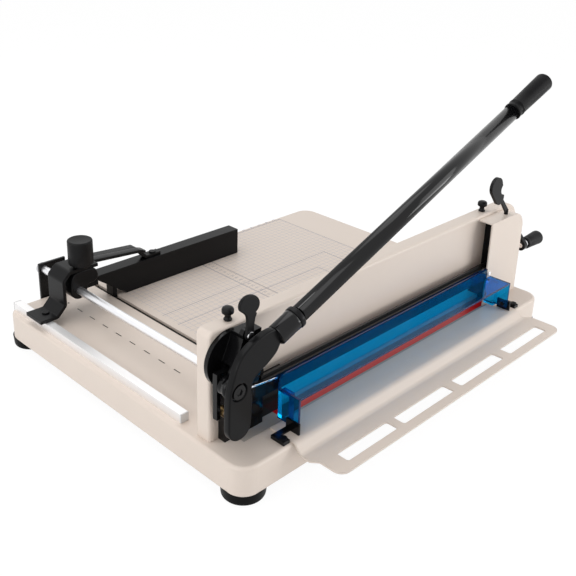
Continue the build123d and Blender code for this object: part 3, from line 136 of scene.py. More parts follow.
def make_grain_group():
    """Ground metal: noise stretched along one axis gives streaks in tone, gloss and height."""
    group, inside, outside = new_group(
        "ground_grain",
        [("Colour", "c", (0.6, 0.6, 0.6, 1)), ("Stretch", "v", (20.0, 900.0, 900.0)), ("Streak", "f", 0.12),
         ("Roughness", "f", 0.3), ("Gloss drift", "f", 0.2)],
        [("Colour", "c"), ("Roughness", "f"), ("Height", "f")])
    place = group.nodes.new("ShaderNodeTexCoord").outputs["Object"]
    stretched = group.nodes.new("ShaderNodeVectorMath")
    stretched.operation = "MULTIPLY"
    group.links.new(place, stretched.inputs[0])
    group.links.new(inside.outputs["Stretch"], stretched.inputs[1])
    streak = noise_node(group, stretched.outputs[0], 1.0, 4.0, 0.7)
    centred = math_node(group, "SUBTRACT", streak, 0.5)
    factor = math_node(group, "ADD", math_node(group, "MULTIPLY", centred, inside.outputs["Streak"]), 1.0)
    tint = group.nodes.new("ShaderNodeVectorMath")
    tint.operation = "SCALE"
    group.links.new(inside.outputs["Colour"], tint.inputs[0])
    group.links.new(factor, tint.inputs["Scale"])
    group.links.new(tint.outputs[0], outside.inputs["Colour"])
    gloss = math_node(group, "MULTIPLY", centred, inside.outputs["Gloss drift"])
    rough = math_node(group, "ADD", gloss, inside.outputs["Roughness"], clamp=True)
    group.links.new(rough, outside.inputs["Roughness"])
    group.links.new(streak, outside.inputs["Height"])
    return group


skin_group = make_skin_group()
grain_group = make_grain_group()


def start_material(name, group, settings, edge):
    """A material whose group feeds colour, roughness and a bump; edges look rounded by so many mm."""
    material = bpy.data.materials.new(name)
    material.use_nodes = True
    tree = material.node_tree
    shader = tree.nodes["Principled BSDF"]
    effect = tree.nodes.new("ShaderNodeGroup")
    effect.node_tree = group
    for label, value in settings.items():
        effect.inputs[label].default_value = value
    bump = tree.nodes.new("ShaderNodeBump")
    if edge:
        rounder = tree.nodes.new("ShaderNodeBevel")
        rounder.samples = bevel_samples
        rounder.inputs["Radius"].default_value = edge * MM
        tree.links.new(rounder.outputs["Normal"], bump.inputs["Normal"])
    tree.links.new(effect.outputs["Colour"], shader.inputs["Base Color"])
    tree.links.new(effect.outputs["Roughness"], shader.inputs["Roughness"])
    tree.links.new(effect.outputs["Height"], bump.inputs["Height"])
    tree.links.new(bump.outputs["Normal"], shader.inputs["Normal"])
    return material, shader, bump


def coated(name, colour, roughness, drift=0.05, gloss_drift=0.1, peel=900.0, depth=0.15, coat=0.0, shine=0.5,
           edge=0.8):
    """Paint, moulded plastic or rubber, with its orange peel and an even clear coat."""
    material, shader, bump_node = start_material(name, skin_group, {
        "Colour": (*colour, 1), "Tone drift": drift, "Roughness": roughness, "Gloss drift": gloss_drift,
        "Peel size": peel, "Peel depth": depth}, edge)
    bump_node.inputs["Strength"].default_value = skin_bump
    bump_node.inputs["Distance"].default_value = skin_bump_depth
    shader.inputs["Specular IOR Level"].default_value = shine
    shader.inputs["Coat Weight"].default_value = coat
    shader.inputs["Coat Roughness"].default_value = coat_roughness
    return material


def metal(name, colour, roughness, stretch, streak=0.15, gloss_drift=0.2, edge=0.4):
    """Bare metal with a grain along one axis."""
    material, shader, bump_node = start_material(name, grain_group, {
        "Colour": (*colour, 1), "Stretch": stretch, "Streak": streak, "Roughness": roughness,
        "Gloss drift": gloss_drift}, edge)
    shader.inputs["Metallic"].default_value = 1.0
    bump_node.inputs["Strength"].default_value = grain_bump
    bump_node.inputs["Distance"].default_value = grain_bump_depth
    return material


def clear_blue(name):
    """Clear blue acrylic: tinted transmission, with faint rub marks in its gloss."""
    material, shader, bump_node = start_material(name, skin_group, {
        "Colour": (*acrylic_blue, 1), "Tone drift": 0.04, "Roughness": 0.05, "Gloss drift": 0.05,
        "Peel size": 60.0, "Peel depth": 0.05}, 0)
    bump_node.inputs["Strength"].default_value = acrylic_bump
    bump_node.inputs["Distance"].default_value = acrylic_bump_depth
    shader.inputs["Transmission Weight"].default_value = acrylic_clearness
    shader.inputs["IOR"].default_value = acrylic_bending
    return material


# Painted and moulded finishes
cream_paint = coated("cream_paint", (0.735, 0.64, 0.565), 0.4,
                     drift=0.025, peel=700.0, depth=0.2, coat=0.1, edge=1.6)
black_paint = coated("black_paint", (0.0035, 0.0035, 0.004), 0.16,
                     drift=0.1, depth=0.12, coat=0.1, shine=0.16, edge=1.2)
tube_enamel = coated("tube_enamel", (0.002, 0.002, 0.0025), 0.12,
                     drift=0.03, peel=300.0, depth=0.02, coat=0.25, shine=0.2)
lever_enamel = coated("lever_enamel", (0.005, 0.005, 0.0055), 0.3,
                      drift=0.1, peel=1400.0, depth=0.3, coat=0.03, shine=0.1)
satin_black = coated("satin_black", (0.005, 0.005, 0.0055), 0.3,
                     drift=0.1, peel=1400.0, depth=0.3, shine=0.15, edge=1.2)
gauge_black = coated("gauge_black", (0.003, 0.003, 0.0035), 0.3,
                     drift=0.1, peel=1500.0, depth=0.4, shine=0.14, edge=1.4)
knob_black = coated("knob_black", (0.004, 0.004, 0.0045), 0.45,
                    drift=0.1, peel=1600.0, depth=0.6, shine=0.16)
foot_rubber = coated("foot_rubber", (0.003, 0.003, 0.003), 0.45,
                     drift=0.15, peel=1200.0, depth=0.6, shine=0.08)
grip_rubber = coated("grip_rubber", (0.003, 0.003, 0.0035), 0.4,
                     drift=0.1, peel=1500.0, depth=0.5, shine=0.1)
# Dark fill as painted shade inside the fence's groove and the seam's slots, and the colour of the seam's plug
slot_shade_and_plug = coated("slot_shade_and_plug", (0.02, 0.018, 0.017), 0.7, shine=0.2, edge=0)
red_plastic = coated("red_plastic", (0.8, 0.006, 0.008), 0.35, drift=0.06, peel=500.0, depth=0.2)
plug_grey = coated("plug_grey", (0.66, 0.66, 0.66), 0.4, drift=0.05)
# Bed plate: the cream darkened to a grey, as painted shade from the guard above it
bed_painted_shade = coated("bed_painted_shade", (0.42, 0.385, 0.35), 0.4, drift=0.05, peel=800.0, depth=0.2)
print_ink = coated("print_ink", (0.42, 0.43, 0.5), 0.6, drift=0.1, edge=0)
print_dark = coated("print_dark", (0.16, 0.17, 0.26), 0.6, drift=0.1, edge=0)

# Bare metals; the grain runs along the axis whose stretch is the smallest
chrome = metal("chrome", (0.9, 0.9, 0.92), 0.1, (200.0, 200.0, 30.0), 0.05, 0.05)
rod_chrome = metal("rod_chrome", (0.9, 0.9, 0.92), 0.34, (900.0, 15.0, 900.0), 0.05, 0.05, edge=0)
ground_steel = metal("ground_steel", (0.55, 0.55, 0.57), 0.34, (15.0, 900.0, 900.0))
blade_steel = metal("blade_steel", (0.05, 0.05, 0.052), 0.3, (900.0, 900.0, 25.0))
strip_steel = metal("strip_steel", (0.9, 0.9, 0.92), 0.2, (25.0, 900.0, 900.0))
bearing_bronze = metal("bearing_bronze", (0.3, 0.2, 0.09), 0.4, (500.0, 30.0, 500.0))
rail_aluminium = metal("rail_aluminium", (0.88, 0.87, 0.87), 0.46, (900.0, 12.0, 900.0), 0.08, 0.1)

# Clear blue guard and its cut edges
guard_acrylic = clear_blue("guard_acrylic")
acrylic_edge = coated("acrylic_edge", (0.002, 0.018, 0.1), 0.2, drift=0.04, shine=0.5, edge=0)

node_finish = {
    cream_paint: ("base_casting", "gantry_cover", "far_post_cover", "offcut_tray", "tray_screws"),
    black_paint: ("side_housing", "blade_carrier", "near_guide", "far_guide", "near_guard_bracket",
                  "far_guard_bracket", "clamp_bar", "near_leg_block", "far_leg_block", "crank_arm",
                  "rod_bracket", "pivot_bolt", "blade_screws", "bracket_screws"),
    tube_enamel: ("handle_tube",),
    lever_enamel: ("lever_arm",),
    satin_black: ("near_lock_paddle", "far_lock_paddle", "near_thumbscrew", "far_thumbscrew",
                  "handle_collar"),
    gauge_black: ("gauge_strap", "gauge_fence", "gauge_sleeve", "fence_key", "gauge_screws"),
    knob_black: ("gauge_knob", "crank_grip"),
    foot_rubber: ("feet",),
    grip_rubber: ("handle_grip",),
    red_plastic: ("cutting_stick",),
    plug_grey: ("rail_plugs",),
    chrome: ("crank_spindle", "paddle_screw", "post_screw"),
    rod_chrome: ("guide_rod",),
    bed_painted_shade: ("bed_plate",),
    ground_steel: ("drive_pin", "clamp_guide_pins", "clamp_racks", "clamp_shaft", "foot_screws",
                   "leg_bolts", "rod_bracket_screws", "rod_nut"),
    blade_steel: ("blade",),
    bearing_bronze: ("drive_roller", "clamp_bushes", "shaft_bearings"),
    rail_aluminium: ("side_rail",),
    guard_acrylic: ("blade_guard",),
}


def finish_nodes():
    """Gives each node of the frame its own material."""
    for material, names in node_finish.items():
        for name in names:
            slots = nodes[name].data.materials
            slots.clear()
            slots.append(material)


# Mesh helpers; every length from here on is in millimetres, from the work zero on the table

# A softened plate's step and least count along its outline, the rings of its rim and the sides of its holes
outline_step, least_steps, rim_rings, hole_sides = 1.2, 24, 5, 48
# Sides of a turned piece that asks for no other count
turned_sides = 64


def outward(points, faces):
    """Faces turned so that a closed mesh encloses a positive volume.

    The volume is the sum of the triple products of each face's corners, over six; only its sign is used.
    """
    volume = 0.0
    for size in {len(f) for f in faces}:
        some = points[np.array([f for f in faces if len(f) == size])]
        for step in range(1, size - 1):
            volume += np.einsum("ij,ij->", some[:, 0], np.cross(some[:, step], some[:, step + 1]))
    return faces if volume > 0 else [tuple(reversed(f)) for f in faces]


def new_piece(name, points, faces, material, body, flat=()):
    """A mesh object from points in millimetres, which rides on a body; the listed faces stay flat."""
    points = np.asarray(points, float) * MM + work_zero
    mesh = bpy.data.meshes.new(name)
    mesh.from_pydata(points.tolist(), [], [tuple(int(i) for i in f) for f in faces])
    smooth = np.ones(len(mesh.polygons), bool)
    smooth[list(flat)] = False
    mesh.polygons.foreach_set("use_smooth", smooth)
    mesh.update()
    piece = bpy.data.objects.new(name, mesh)
    bpy.context.scene.collection.objects.link(piece)
    mesh.materials.append(material)
    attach(piece, body)
    return piece


def ring_quads(rings, count, wrap=False):
    """Quads between neighbouring rings of count points each; with wrap the last ring meets the first."""
    ring = np.arange(rings if wrap else rings - 1)[:, None]
    after = (ring + 1) % rings
    here = np.arange(count)[None, :]
    beside = (here + 1) % count
    low, high = ring * count, after * count
    quads = np.stack([low + here, low + beside, high + beside, high + here], -1)
    return [tuple(q) for q in quads.reshape(-1, 4)]


def turned(name, profile, foot, axis, material, body, sides=turned_sides, ribs=None, wrap=False):
    """Surface of revolution: point(s, t) = foot + a(s) axis + r(s) (cos t u + sin t v).

    Ribs lower the radius by depth (0.5 - 0.5 cos(count t)) between two places along the axis. Without
    wrap the profile starts and ends on the axis, and each end is a pole; with wrap it is a closed loop.
    """
    axis = np.array(axis, float) / np.linalg.norm(axis)
    u = np.cross(axis, (0.0, 1.0, 0.0) if abs(axis[1]) < 0.8 else (1.0, 0.0, 0.0))
    u /= np.linalg.norm(u)
    v = np.cross(axis, u)
    rows = np.array(profile if wrap else profile[1:-1], float)
    angle = np.linspace(0, 2 * np.pi, sides, endpoint=False)
    radius = np.repeat(rows[:, 1:2], sides, axis=1)
    if ribs:
        count, depth, low, high = ribs
        inside = ((rows[:, 0] >= low) & (rows[:, 0] <= high))[:, None]
        radius = radius - inside * depth * (0.5 - 0.5 * np.cos(count * angle))[None, :]
    points = (np.array(foot, float) + rows[:, 0][:, None, None] * axis
              + radius[..., None] * (np.cos(angle)[:, None] * u + np.sin(angle)[:, None] * v)).reshape(-1, 3)
    faces = ring_quads(len(rows), sides, wrap)
    if not wrap:
        ends = [np.array(foot, float) + profile[i][0] * axis for i in (0, -1)]
        first, last = len(points), len(points) + 1
        points = np.vstack([points, ends])
        base = (len(rows) - 1) * sides
        faces += [(first, (i + 1) % sides, i) for i in range(sides)]
        faces += [(last, base + i, base + (i + 1) % sides) for i in range(sides)]
    return new_piece(name, points, outward(points, faces), material, body)


def even_outline(points, step):
    """The closed line through the points, cut into even steps by its running length."""
    line = np.vstack([points, points[:1]])
    run = np.concatenate([[0], np.cumsum(np.linalg.norm(np.diff(line, axis=0), axis=1))])
    marks = np.linspace(0, run[-1], max(least_steps, int(run[-1] / step)), endpoint=False)
    return np.stack([np.interp(marks, run, line[:, k]) for k in (0, 1)], axis=1)


def through(points, fine=12):
    """Smooth line through points: each span is a cubic whose slope at a point is half of (next - before)."""
    p = np.vstack([2 * points[0] - points[1], points, 2 * points[-1] - points[-2]])
    t = np.linspace(0, 1, fine, endpoint=False)[None, :, None]
    a, b, c, d = (p[i:len(p) - 3 + i][:, None, :] for i in range(4))
    square = a - 2.5 * b + 2 * c - d / 2
    cube = 1.5 * (b - c) + (d - a) / 2
    curve = b + (c - a) / 2 * t + square * t ** 2 + cube * t ** 3
    return np.vstack([curve.reshape(-1, 2), points[-1:]])


def arc(x, z, radius, start, end, count=24):
    """Points on a circle between two angles in degrees."""
    angle = np.radians(np.linspace(start, end, count))
    return np.stack([x + radius * np.cos(angle), z + radius * np.sin(angle)], axis=1)


def soft_plate(name, outline, front, back, soften, material, body, holes=()):
    """Flat plate that stands across Y, with rounded rims.

    At rim angle t the outline steps in by r (1 - sin t) along its inward normal, and the depth is
    r (1 - cos t) from the face. Holes are round and straight, each given as (x, z, radius).
    """
    line = even_outline(np.asarray(outline, float), outline_step)
    x, z = line.T
    if np.sum(x * np.roll(z, -1) - np.roll(x, -1) * z) < 0:
        line = line[::-1]
    tangent = np.roll(line, -1, axis=0) - np.roll(line, 1, axis=0)
    tangent /= np.linalg.norm(tangent, axis=1)[:, None]
    inward = np.stack([-tangent[:, 1], tangent[:, 0]], axis=1)
    turn = np.linspace(0, np.pi / 2, rim_rings)
    depth = np.concatenate([front + soften * (1 - np.cos(turn)), back - soften * (1 - np.cos(turn[::-1]))])
    step = np.concatenate([soften * (1 - np.sin(turn)), soften * (1 - np.sin(turn[::-1]))])
    flat_rings = line[None] + step[:, None, None] * inward[None]
    count, rings = len(line), len(depth)
    points = np.stack([flat_rings[..., 0], np.repeat(depth[:, None], count, axis=1), flat_rings[..., 1]], -1)
    points = points.reshape(-1, 3)
    faces = ring_quads(rings, count)
    loops = [np.arange(count)]
    far_loops = [np.arange(count) + (rings - 1) * count]
    for hole_x, hole_z, hole_radius in holes:
        circle = arc(hole_x, hole_z, hole_radius, 0, 360, hole_sides + 1)[:-1]
        start = len(points)
        near = np.stack([circle[:, 0], np.full(hole_sides, front), circle[:, 1]], 1)
        far = np.stack([circle[:, 0], np.full(hole_sides, back), circle[:, 1]], 1)
        points = np.vstack([points, near, far])
        loops.append(start + np.arange(hole_sides))
        far_loops.append(start + hole_sides + np.arange(hole_sides))
        faces += [tuple(start + i for i in q)[::-1] for q in ring_quads(2, hole_sides)]
    walls = len(faces)
    for group, flip in ((loops, 1), (far_loops, -1)):
        order = np.concatenate(group)
        caps = tessellate_polygon([[Vector((points[i][0], points[i][2], 0)) for i in loop] for loop in group])
        for cap in caps:
            a, b, c = (order[i] for i in cap)
            across = np.cross(points[b] - points[a], points[c] - points[a])[1]
            faces.append((a, b, c) if across * flip < 0 else (c, b, a))
    # The straight part of the rim tells whether the walls face outwards
    quads = np.array(faces[(rim_rings - 1) * count:rim_rings * count])
    side = np.cross(points[quads[:, 1]] - points[quads[:, 0]], points[quads[:, 3]] - points[quads[:, 0]])
    if np.sum(side[:, 0] * inward[:, 0] + side[:, 2] * inward[:, 1]) > 0:
        faces[:walls] = [tuple(reversed(f)) for f in faces[:walls]]
    return new_piece(name, points, faces, material, body, flat=range(walls, len(faces)))


def boxes(name, spans, material, body):
    """Plain bars in one piece: each span is (x0, x1, y0, y1, z0, z1), and the eight corners take its ends."""
    spans = np.asarray(spans, float)
    corner = np.array([(0, 2, 4), (1, 2, 4), (1, 3, 4), (0, 3, 4),
                       (0, 2, 5), (1, 2, 5), (1, 3, 5), (0, 3, 5)])
    points = spans[:, corner].reshape(-1, 3)
    sides = np.array([(3, 2, 1, 0), (4, 5, 6, 7), (0, 1, 5, 4), (1, 2, 6, 5), (2, 3, 7, 6), (3, 0, 4, 7)])
    faces = (np.arange(len(spans))[:, None, None] * 8 + sides[None]).reshape(-1, 4)
    return new_piece(name, points, faces, material, body, flat=range(len(faces)))


# Lever and handle

pivot_x, pivot_z = -153.0, 88.0
handle_rise, handle_offset, handle_y = math.radians(21.7), 22.6, -225.0
handle_axis = (math.cos(handle_rise), 0.0, math.sin(handle_rise))
handle_foot = (pivot_x - handle_offset * handle_axis[2], handle_y, pivot_z + handle_offset * handle_axis[0])

# Leaf of the lever: depths, rim, bore, its lobe below the pivot, and its edges as (x, z) from the pivot
leaf_front, leaf_back, leaf_rim, leaf_bore = -230, -220, 1.8, 12.0
lobe_shift, lobe_drop, lobe_radius = 1.3, 47, 17.2
leaf_right = [(20, -18), (18.8, -2), (24, 10), (43, 19.5), (57, 29), (64, 40)]
leaf_left = [(58.5, 57), (53, 60.5), (42, 60.5), (29, 57.5), (15, 52), (-1.4, 38), (-12.5, 8), (-15.6, -14)]

# Turned pieces on the pivot and along the handle: each point is (place along the axis, radius)
seat_profile = [(-226.5, 8.05), (-226.5, 11.9), (-220, 11.9), (-220, 14), (-212.3, 14), (-212.3, 8.05)]
socket_profile = [(73.6, 0), (73.6, 12.0), (74.8, 13.2), (99, 13.2), (100, 13.6), (103, 13.6), (104, 12.9),
                  (104, 11.35), (76, 11.35), (76, 0)]
ring_profile = [(104.05, 11.35), (104.05, 13.4), (104.6, 14.1), (105.4, 14.4), (109.4, 14.4), (110.4, 14.1),
                (111, 13.3), (111, 11.35)]
tube_start, tube_end, tube_radius = 76, 670, 11.3
grip_profile = [(581, 0), (581, 12.4), (581.6, 13.0), (583.4, 13.1), (584, 12.5), (592, 12.5), (592.6, 13.1),
                (594.4, 13.2), (595.4, 12.7), (620, 13.1), (645, 13.5)]
grip_mouth = [(673.2, 6), (673, 5.4), (672.8, 0)]
dome_start, dome_length, dome_core, dome_round, dome_rings = 668.2, 4.8, 8.9, 4.9, 8
handle_sides = 96


def make_lever():
    """Cast lever plate with its sunk pivot seat and its socket, then the collar ring, tube and grip."""
    pivot = np.array([pivot_x, pivot_z])
    lobe = arc(pivot_x + lobe_shift, pivot_z - lobe_drop, lobe_radius, 180, 360)
    right = through(np.vstack([lobe[-1:], pivot + leaf_right]))
    left = through(np.vstack([pivot + leaf_left, lobe[:1]]))
    outline = np.vstack([lobe[:-1], right, left[:-1]])
    plate = soft_plate("lever_plate", outline, leaf_front, leaf_back, leaf_rim, lever_enamel, "lever",
                       holes=[(pivot_x, pivot_z, leaf_bore)])
    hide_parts("lever_arm")
    turned("lever_pivot_seat", seat_profile, (pivot_x, 0, pivot_z), (0, 1, 0), black_paint, "lever",
           wrap=True)
    turned("handle_socket", socket_profile, handle_foot, handle_axis, tube_enamel, "lever")
    ring = turned("handle_ring", ring_profile, handle_foot, handle_axis, satin_black, "lever", wrap=True)
    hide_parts("handle_collar")
    bar = [(tube_start, 0), (tube_start, tube_radius), (tube_end, tube_radius), (tube_end, 0)]
    tube = turned("handle_bar", bar, handle_foot, handle_axis, tube_enamel, "lever", sides=handle_sides)
    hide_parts("handle_tube")
    turn = np.linspace(0, np.pi / 2, dome_rings)
    dome = list(zip(dome_start + dome_length * np.sin(turn), dome_core + dome_round * np.cos(turn)))
    grip = turned("grip_sleeve", grip_profile + dome + grip_mouth, handle_foot, handle_axis, grip_rubber,
                  "lever", sides=handle_sides)
    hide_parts("handle_grip")


# Near lock paddle and the bright strip of the carrier; stems and corners are (x, z)

lock_screw_x, lock_screw_z, lock_bore, lock_eye, lock_boss = -125.5, 144.8, 3.65, 6.4, 5.6
paddle_front, paddle_back, paddle_rim, boss_back = -216.6, -212.6, 1.2, -206.4
pad_x, pad_z, pad_tilt = -126.8, 183.5, math.radians(-22.0)
pad_half_width, pad_half_height, pad_start, pad_end, pad_points = 16.0, 12.5, -35, 220, 40
stem_left = [(-132.5, 172.5), (-130.2, 165), (-130.6, 155)]
stem_right = [(-119.4, 155), (-117.6, 165), (-115.4, 170)]
strip_front, strip_back = -207.35, -206.95
strip_corners = [(-113.4, 68.7), (-113.4, 66.4), (-70.9, 61.2), (-70.9, 63.4)]


def make_paddle():
    """Near lock's paddle: a tilted oval pad over a curved stem, with a round eye and a boss at its screw.

    The pad is (a cos t, b sin t) turned by the tilt and moved to the pad's middle.
    """
    oval = arc(0, 0, 1, pad_start, pad_end, pad_points) * (pad_half_width, pad_half_height)
    cosine, sine = math.cos(pad_tilt), math.sin(pad_tilt)
    pad = np.stack([oval[:, 0] * cosine - oval[:, 1] * sine + pad_x,
                    oval[:, 0] * sine + oval[:, 1] * cosine + pad_z], axis=1)
    left = through(np.array([pad[-1], *stem_left, (lock_screw_x - lock_eye, lock_screw_z)]))
    eye = arc(lock_screw_x, lock_screw_z, lock_eye, 180, 360)
    right = through(np.array([eye[-1], *stem_right, pad[0]]))
    outline = np.vstack([pad[:-1], left[:-1], eye[:-1], right[:-1]])
    paddle = soft_plate("lock_paddle", outline, paddle_front, paddle_back, paddle_rim, satin_black,
                        "near_lock", holes=[(lock_screw_x, lock_screw_z, lock_bore)])
    boss = [(paddle_back, lock_bore), (paddle_back, lock_boss),
            (boss_back, lock_boss), (boss_back, lock_bore)]
    turned("paddle_lock_eye", boss, (lock_screw_x, 0, lock_screw_z), (0, 1, 0), satin_black, "near_lock",
           wrap=True)
    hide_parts("near_lock_paddle")


def make_strip():
    """Bright strip on the carrier's near end: a thin box that falls a little along the blade."""
    points = np.array([(x, y, z) for y in (strip_front, strip_back) for x, z in strip_corners])
    faces = [(0, 1, 2, 3), (7, 6, 5, 4), (0, 4, 5, 1), (1, 5, 6, 2), (2, 6, 7, 3), (3, 7, 4, 0)]
    new_piece("carrier_strip", points, outward(points, faces), strip_steel, "blade_carriage",
              flat=range(len(faces)))


# Back gauge's sleeve and strap, and the black pieces at the throat's near end; outlines are (x, z)

rod_x, rod_z, rod_bore = -100.0, 46.4, 6.1
shell_front, shell_back, shell_rim, shell_radius = 180, 222, 2.2, 14.0
shell_top = [(-84, 51.5), (-74, 53), (-67.5, 58), (-67, 66), (-71, 73.5), (-79, 76), (-99, 76), (-108, 72.5),
             (-112.8, 62)]
sleeve_foot_span = (-91.5, -52, 205, 229, 32.0, 46.0)
web_front, web_back, web_rim = 194, 209.1, 0.8
web_outline = [(-66.1, 81), (22, 72.4), (32, 69.0), (32, 64.2), (22, 67.6), (-66.1, 76)]
lip_span = (-92, -84.2, -196.9, -185.1, 0, 106)
throat_end_span = (-84.1, -46, -190, -185.2, 0.1, 62)


def make_sleeve():
    """Rounded shell of the gauge's sleeve, and its foot that meets the fence.

    The shell's outline is an arc round the rod, closed by a smooth line over the lock screw's block.
    """
    ring = arc(rod_x, rod_z, shell_radius, 180, 335)
    top = through(np.array([ring[-1], *shell_top, ring[0]]))
    shell = soft_plate("sleeve_shell", np.vstack([ring[:-1], top[:-1]]), shell_front, shell_back, shell_rim,
                       gauge_black, "gauge", holes=[(rod_x, rod_z, rod_bore)])
    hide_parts("gauge_sleeve")
    boxes("sleeve_foot", [sleeve_foot_span], gauge_black, "gauge")


def make_guide_lip():
    """Black lip of the near guide in front of the gantry's leg, and the end plate that closes the throat."""
    boxes("guide_lip", [lip_span, throat_end_span], black_paint, "frame")


def make_web():
    """Web that widens the gauge's strap over the gap between its sleeve and the fence."""
    soft_plate("strap_web", web_outline, web_front, web_back, web_rim, gauge_black, "gauge")


# Knobs and thumbscrews: each profile point is (place along the axis, radius)

lock_knob_profile = [(81.3, 0), (81.3, 12.5), (86, 12.5), (86.3, 17.2), (87.6, 18.6), (122, 18.6),
                     (123.6, 18.2), (124.3, 17.0), (124.0, 15.6), (123.7, 0)]
thumb_profile = [(-9.7, 0), (-9.7, 3), (0.3, 3), (0.35, 4.8), (0.8, 5.2), (2.2, 5.2), (2.8, 4.6),
                 (3.4, 3.9), (7.6, 3.8), (9.4, 6.9), (10.4, 7.4), (14.2, 7.4), (15.8, 6.7), (16.9, 5.2),
                 (17.3, 3.0), (17.3, 0)]
crank_profile = [(527.3, 0), (527.3, 8.9), (528.2, 9.8), (532, 9.9), (533, 9.6), (534, 10.0), (548, 10.7),
                 (560, 11.4)]
crank_end_start, crank_end_round, crank_end_core, crank_end_rings = 567.0, 4, 7.8, 6
# Ribs: how many, how deep, and between which places along the axis
lock_knob_ribs, thumb_ribs, crank_ribs = (48, 0.3, 88.5, 121.5), (24, 0.5, 9.9, 13.5), (24, 0.45, 535, 562)
lock_knob_sides, thumb_sides, crank_sides = 192, 96, 144
lock_knob_foot = (-91, 187, 0)
thumb_places = (("near", -121.0), ("far", 417.0))
thumb_y, gantry_top = -173, 146
crank_foot = (0, -197.5, 67)


def make_knobs():
    """Ribbed lock knob, the two mushroom thumbscrews and the crank's grip, all turned."""
    knob = turned("lock_knob", lock_knob_profile, lock_knob_foot, (0, 0, 1), knob_black, "gauge_lock",
                  sides=lock_knob_sides, ribs=lock_knob_ribs)
    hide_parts("gauge_knob")
    for side, x in thumb_places:
        screw = turned(side + "_thumb_head", thumb_profile, (x, thumb_y, gantry_top), (0, 0, 1), satin_black,
                       side + "_thumb", sides=thumb_sides, ribs=thumb_ribs)
        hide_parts(side + "_thumbscrew")
    turn = np.linspace(0, np.pi / 2, crank_end_rings)
    end = list(zip(crank_end_start + crank_end_round * np.sin(turn),
                   crank_end_core + crank_end_round * np.cos(turn)))
    tip = [(crank_end_start + crank_end_round, 0)]
    grip = turned("crank_knob", crank_profile + end + tip, crank_foot, (1, 0, 0), knob_black, "grip",
                  sides=crank_sides, ribs=crank_ribs)
    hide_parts("crank_grip")


# Guard edges, painted shade in the groove and the seam's slots, and the seam's plug

# The guard's own sides, its shelf and wall, its upright web, and the depths of the dark bars in its corners
guard_left, guard_right, guard_front, guard_back = -72.0, 404.0, -246.6, -213.25
guard_low, guard_shelf, guard_top, guard_wall = 7.5, 50, 67.5, 2.5
upright_left, upright_right, end_back, end_top, end_depth = -60.0, 388, -210.75, 55, 0.15
cut_edge, proud = 0.9, 0.05
shelf_edge, under_low, under_high, inner_edge, foot_edge = 49.3, 47.45, 47.9, 1.8, 8.2
# Painted shade in the fence's groove as a span, painted shade in the seam's slots as a row along Y, and the
# plug at its far end
groove_shade_span = (-24.2, -15.8, -150, 262, -5.0, -4.5)
seam_left, seam_right, seam_low, seam_high = -88.75, -87.25, -1.15, -0.25
seam_start, seam_pitch, seam_slots, slot_length, slot_gap = -41.0, 34, 8, 14, 0.1
plug_profile, plug_foot, plug_sides = [(-0.4, 0), (-0.4, 1.6), (0.15, 1.6), (0.2, 0)], (-88, 236, 0), 24


def make_guard_edges():
    """Deep blue cut edges of the acrylic, as thin bars that lie in its corners and stand a little proud."""
    left, right, front, back = guard_left - proud, guard_right + proud, guard_front - proud, guard_back
    near_wall, far_wall = guard_left + guard_wall, guard_right - guard_wall
    behind_front = guard_front + cut_edge
    shelf_high, foot_low = guard_shelf + proud, guard_low - proud
    spans = [
        (upright_left, upright_right, back, back + guard_wall, guard_top - cut_edge, guard_top + proud),
        (left, guard_right, front, behind_front, shelf_edge, shelf_high),
        (left, guard_right, front, behind_front, under_low, under_high),
        (left, near_wall, guard_front, back, shelf_edge, shelf_high),
        (far_wall, right, guard_front, back, shelf_edge, shelf_high),
        (left, guard_left + cut_edge, front, behind_front, guard_low, shelf_edge),
        (guard_left + inner_edge, near_wall, front, behind_front, guard_low, guard_shelf - guard_wall),
        (guard_right - cut_edge, right, front, behind_front, guard_low, shelf_edge),
        (left, guard_left + cut_edge, end_back - end_depth, end_back + proud, guard_low, end_top),
        (left, near_wall, guard_front, end_back, foot_low, foot_edge),
        (far_wall, right, guard_front, end_back, foot_low, foot_edge),
        (upright_right - cut_edge, upright_right, back, back + guard_wall, guard_shelf, guard_top)]
    boxes("guard_cut_edges", spans, acrylic_edge, "guard")


def make_linings():
    """Painted shade: a dark sheet low in the fence's groove and dark fills in the seam's slots stand in for
    the shade in these hollows; the plug at the seam's far end is dark too.
    """
    boxes("groove_painted_shade", [groove_shade_span], slot_shade_and_plug, "frame")
    starts = seam_start + np.arange(seam_slots) * seam_pitch
    spans = [(seam_left, seam_right, y + slot_gap, y + slot_length - slot_gap, seam_low, seam_high)
             for y in starts]
    boxes("seam_painted_shade", spans, slot_shade_and_plug, "frame")
    turned("seam_plug", plug_profile, plug_foot, (0, 0, 1), slot_shade_and_plug, "frame", sides=plug_sides)


# Printed table

print_lift, grid_pitch = 0.05, 10
grid_width, format_width, mark_width = 0.45, 0.8, 0.4
grid_left, grid_right, grid_front, grid_back = -5.0, 413.0, -158.0, 272.0
ruler_left, ruler_right, ruler_step, long_tick, short_tick = 159.0, 180.0, 2.5, 5, 2.6
# Sheet formats: right and back edges of both, and how far the large one's back line runs on past its corner
large_right, large_back, small_right, small_back, format_overlap = 361, 105, 304, 67, 1
# First lines of the grid and first tick of the ruler from the grid's own corner, and the edge's ticks
first_column, first_row, first_tick, edge_step, edge_tick = 5, 8, 3, 5, 4
# Numbers: their digits' width and pace, and how far they stand from their lines and from the grid's corner
ruler_number, edge_number, digit_pace = 2.0, 1.6, 1.7
number_right, number_drop, edge_number_left, edge_number_up, first_edge_number = 7.2, 2.4, 2, 2.5, 25


def line_quads(rows):
    """Flat strips on the table: each row is (x0, x1, y0, y1), and its corners lie just above the paint."""
    rows = np.asarray(rows, float)
    z = np.full(len(rows), print_lift)
    corners = [(0, 2), (1, 2), (1, 3), (0, 3)]
    points = np.stack([np.stack([rows[:, a], rows[:, b], z], axis=1) for a, b in corners], axis=1)
    return points.reshape(-1, 3), np.arange(len(rows) * 4).reshape(-1, 4)


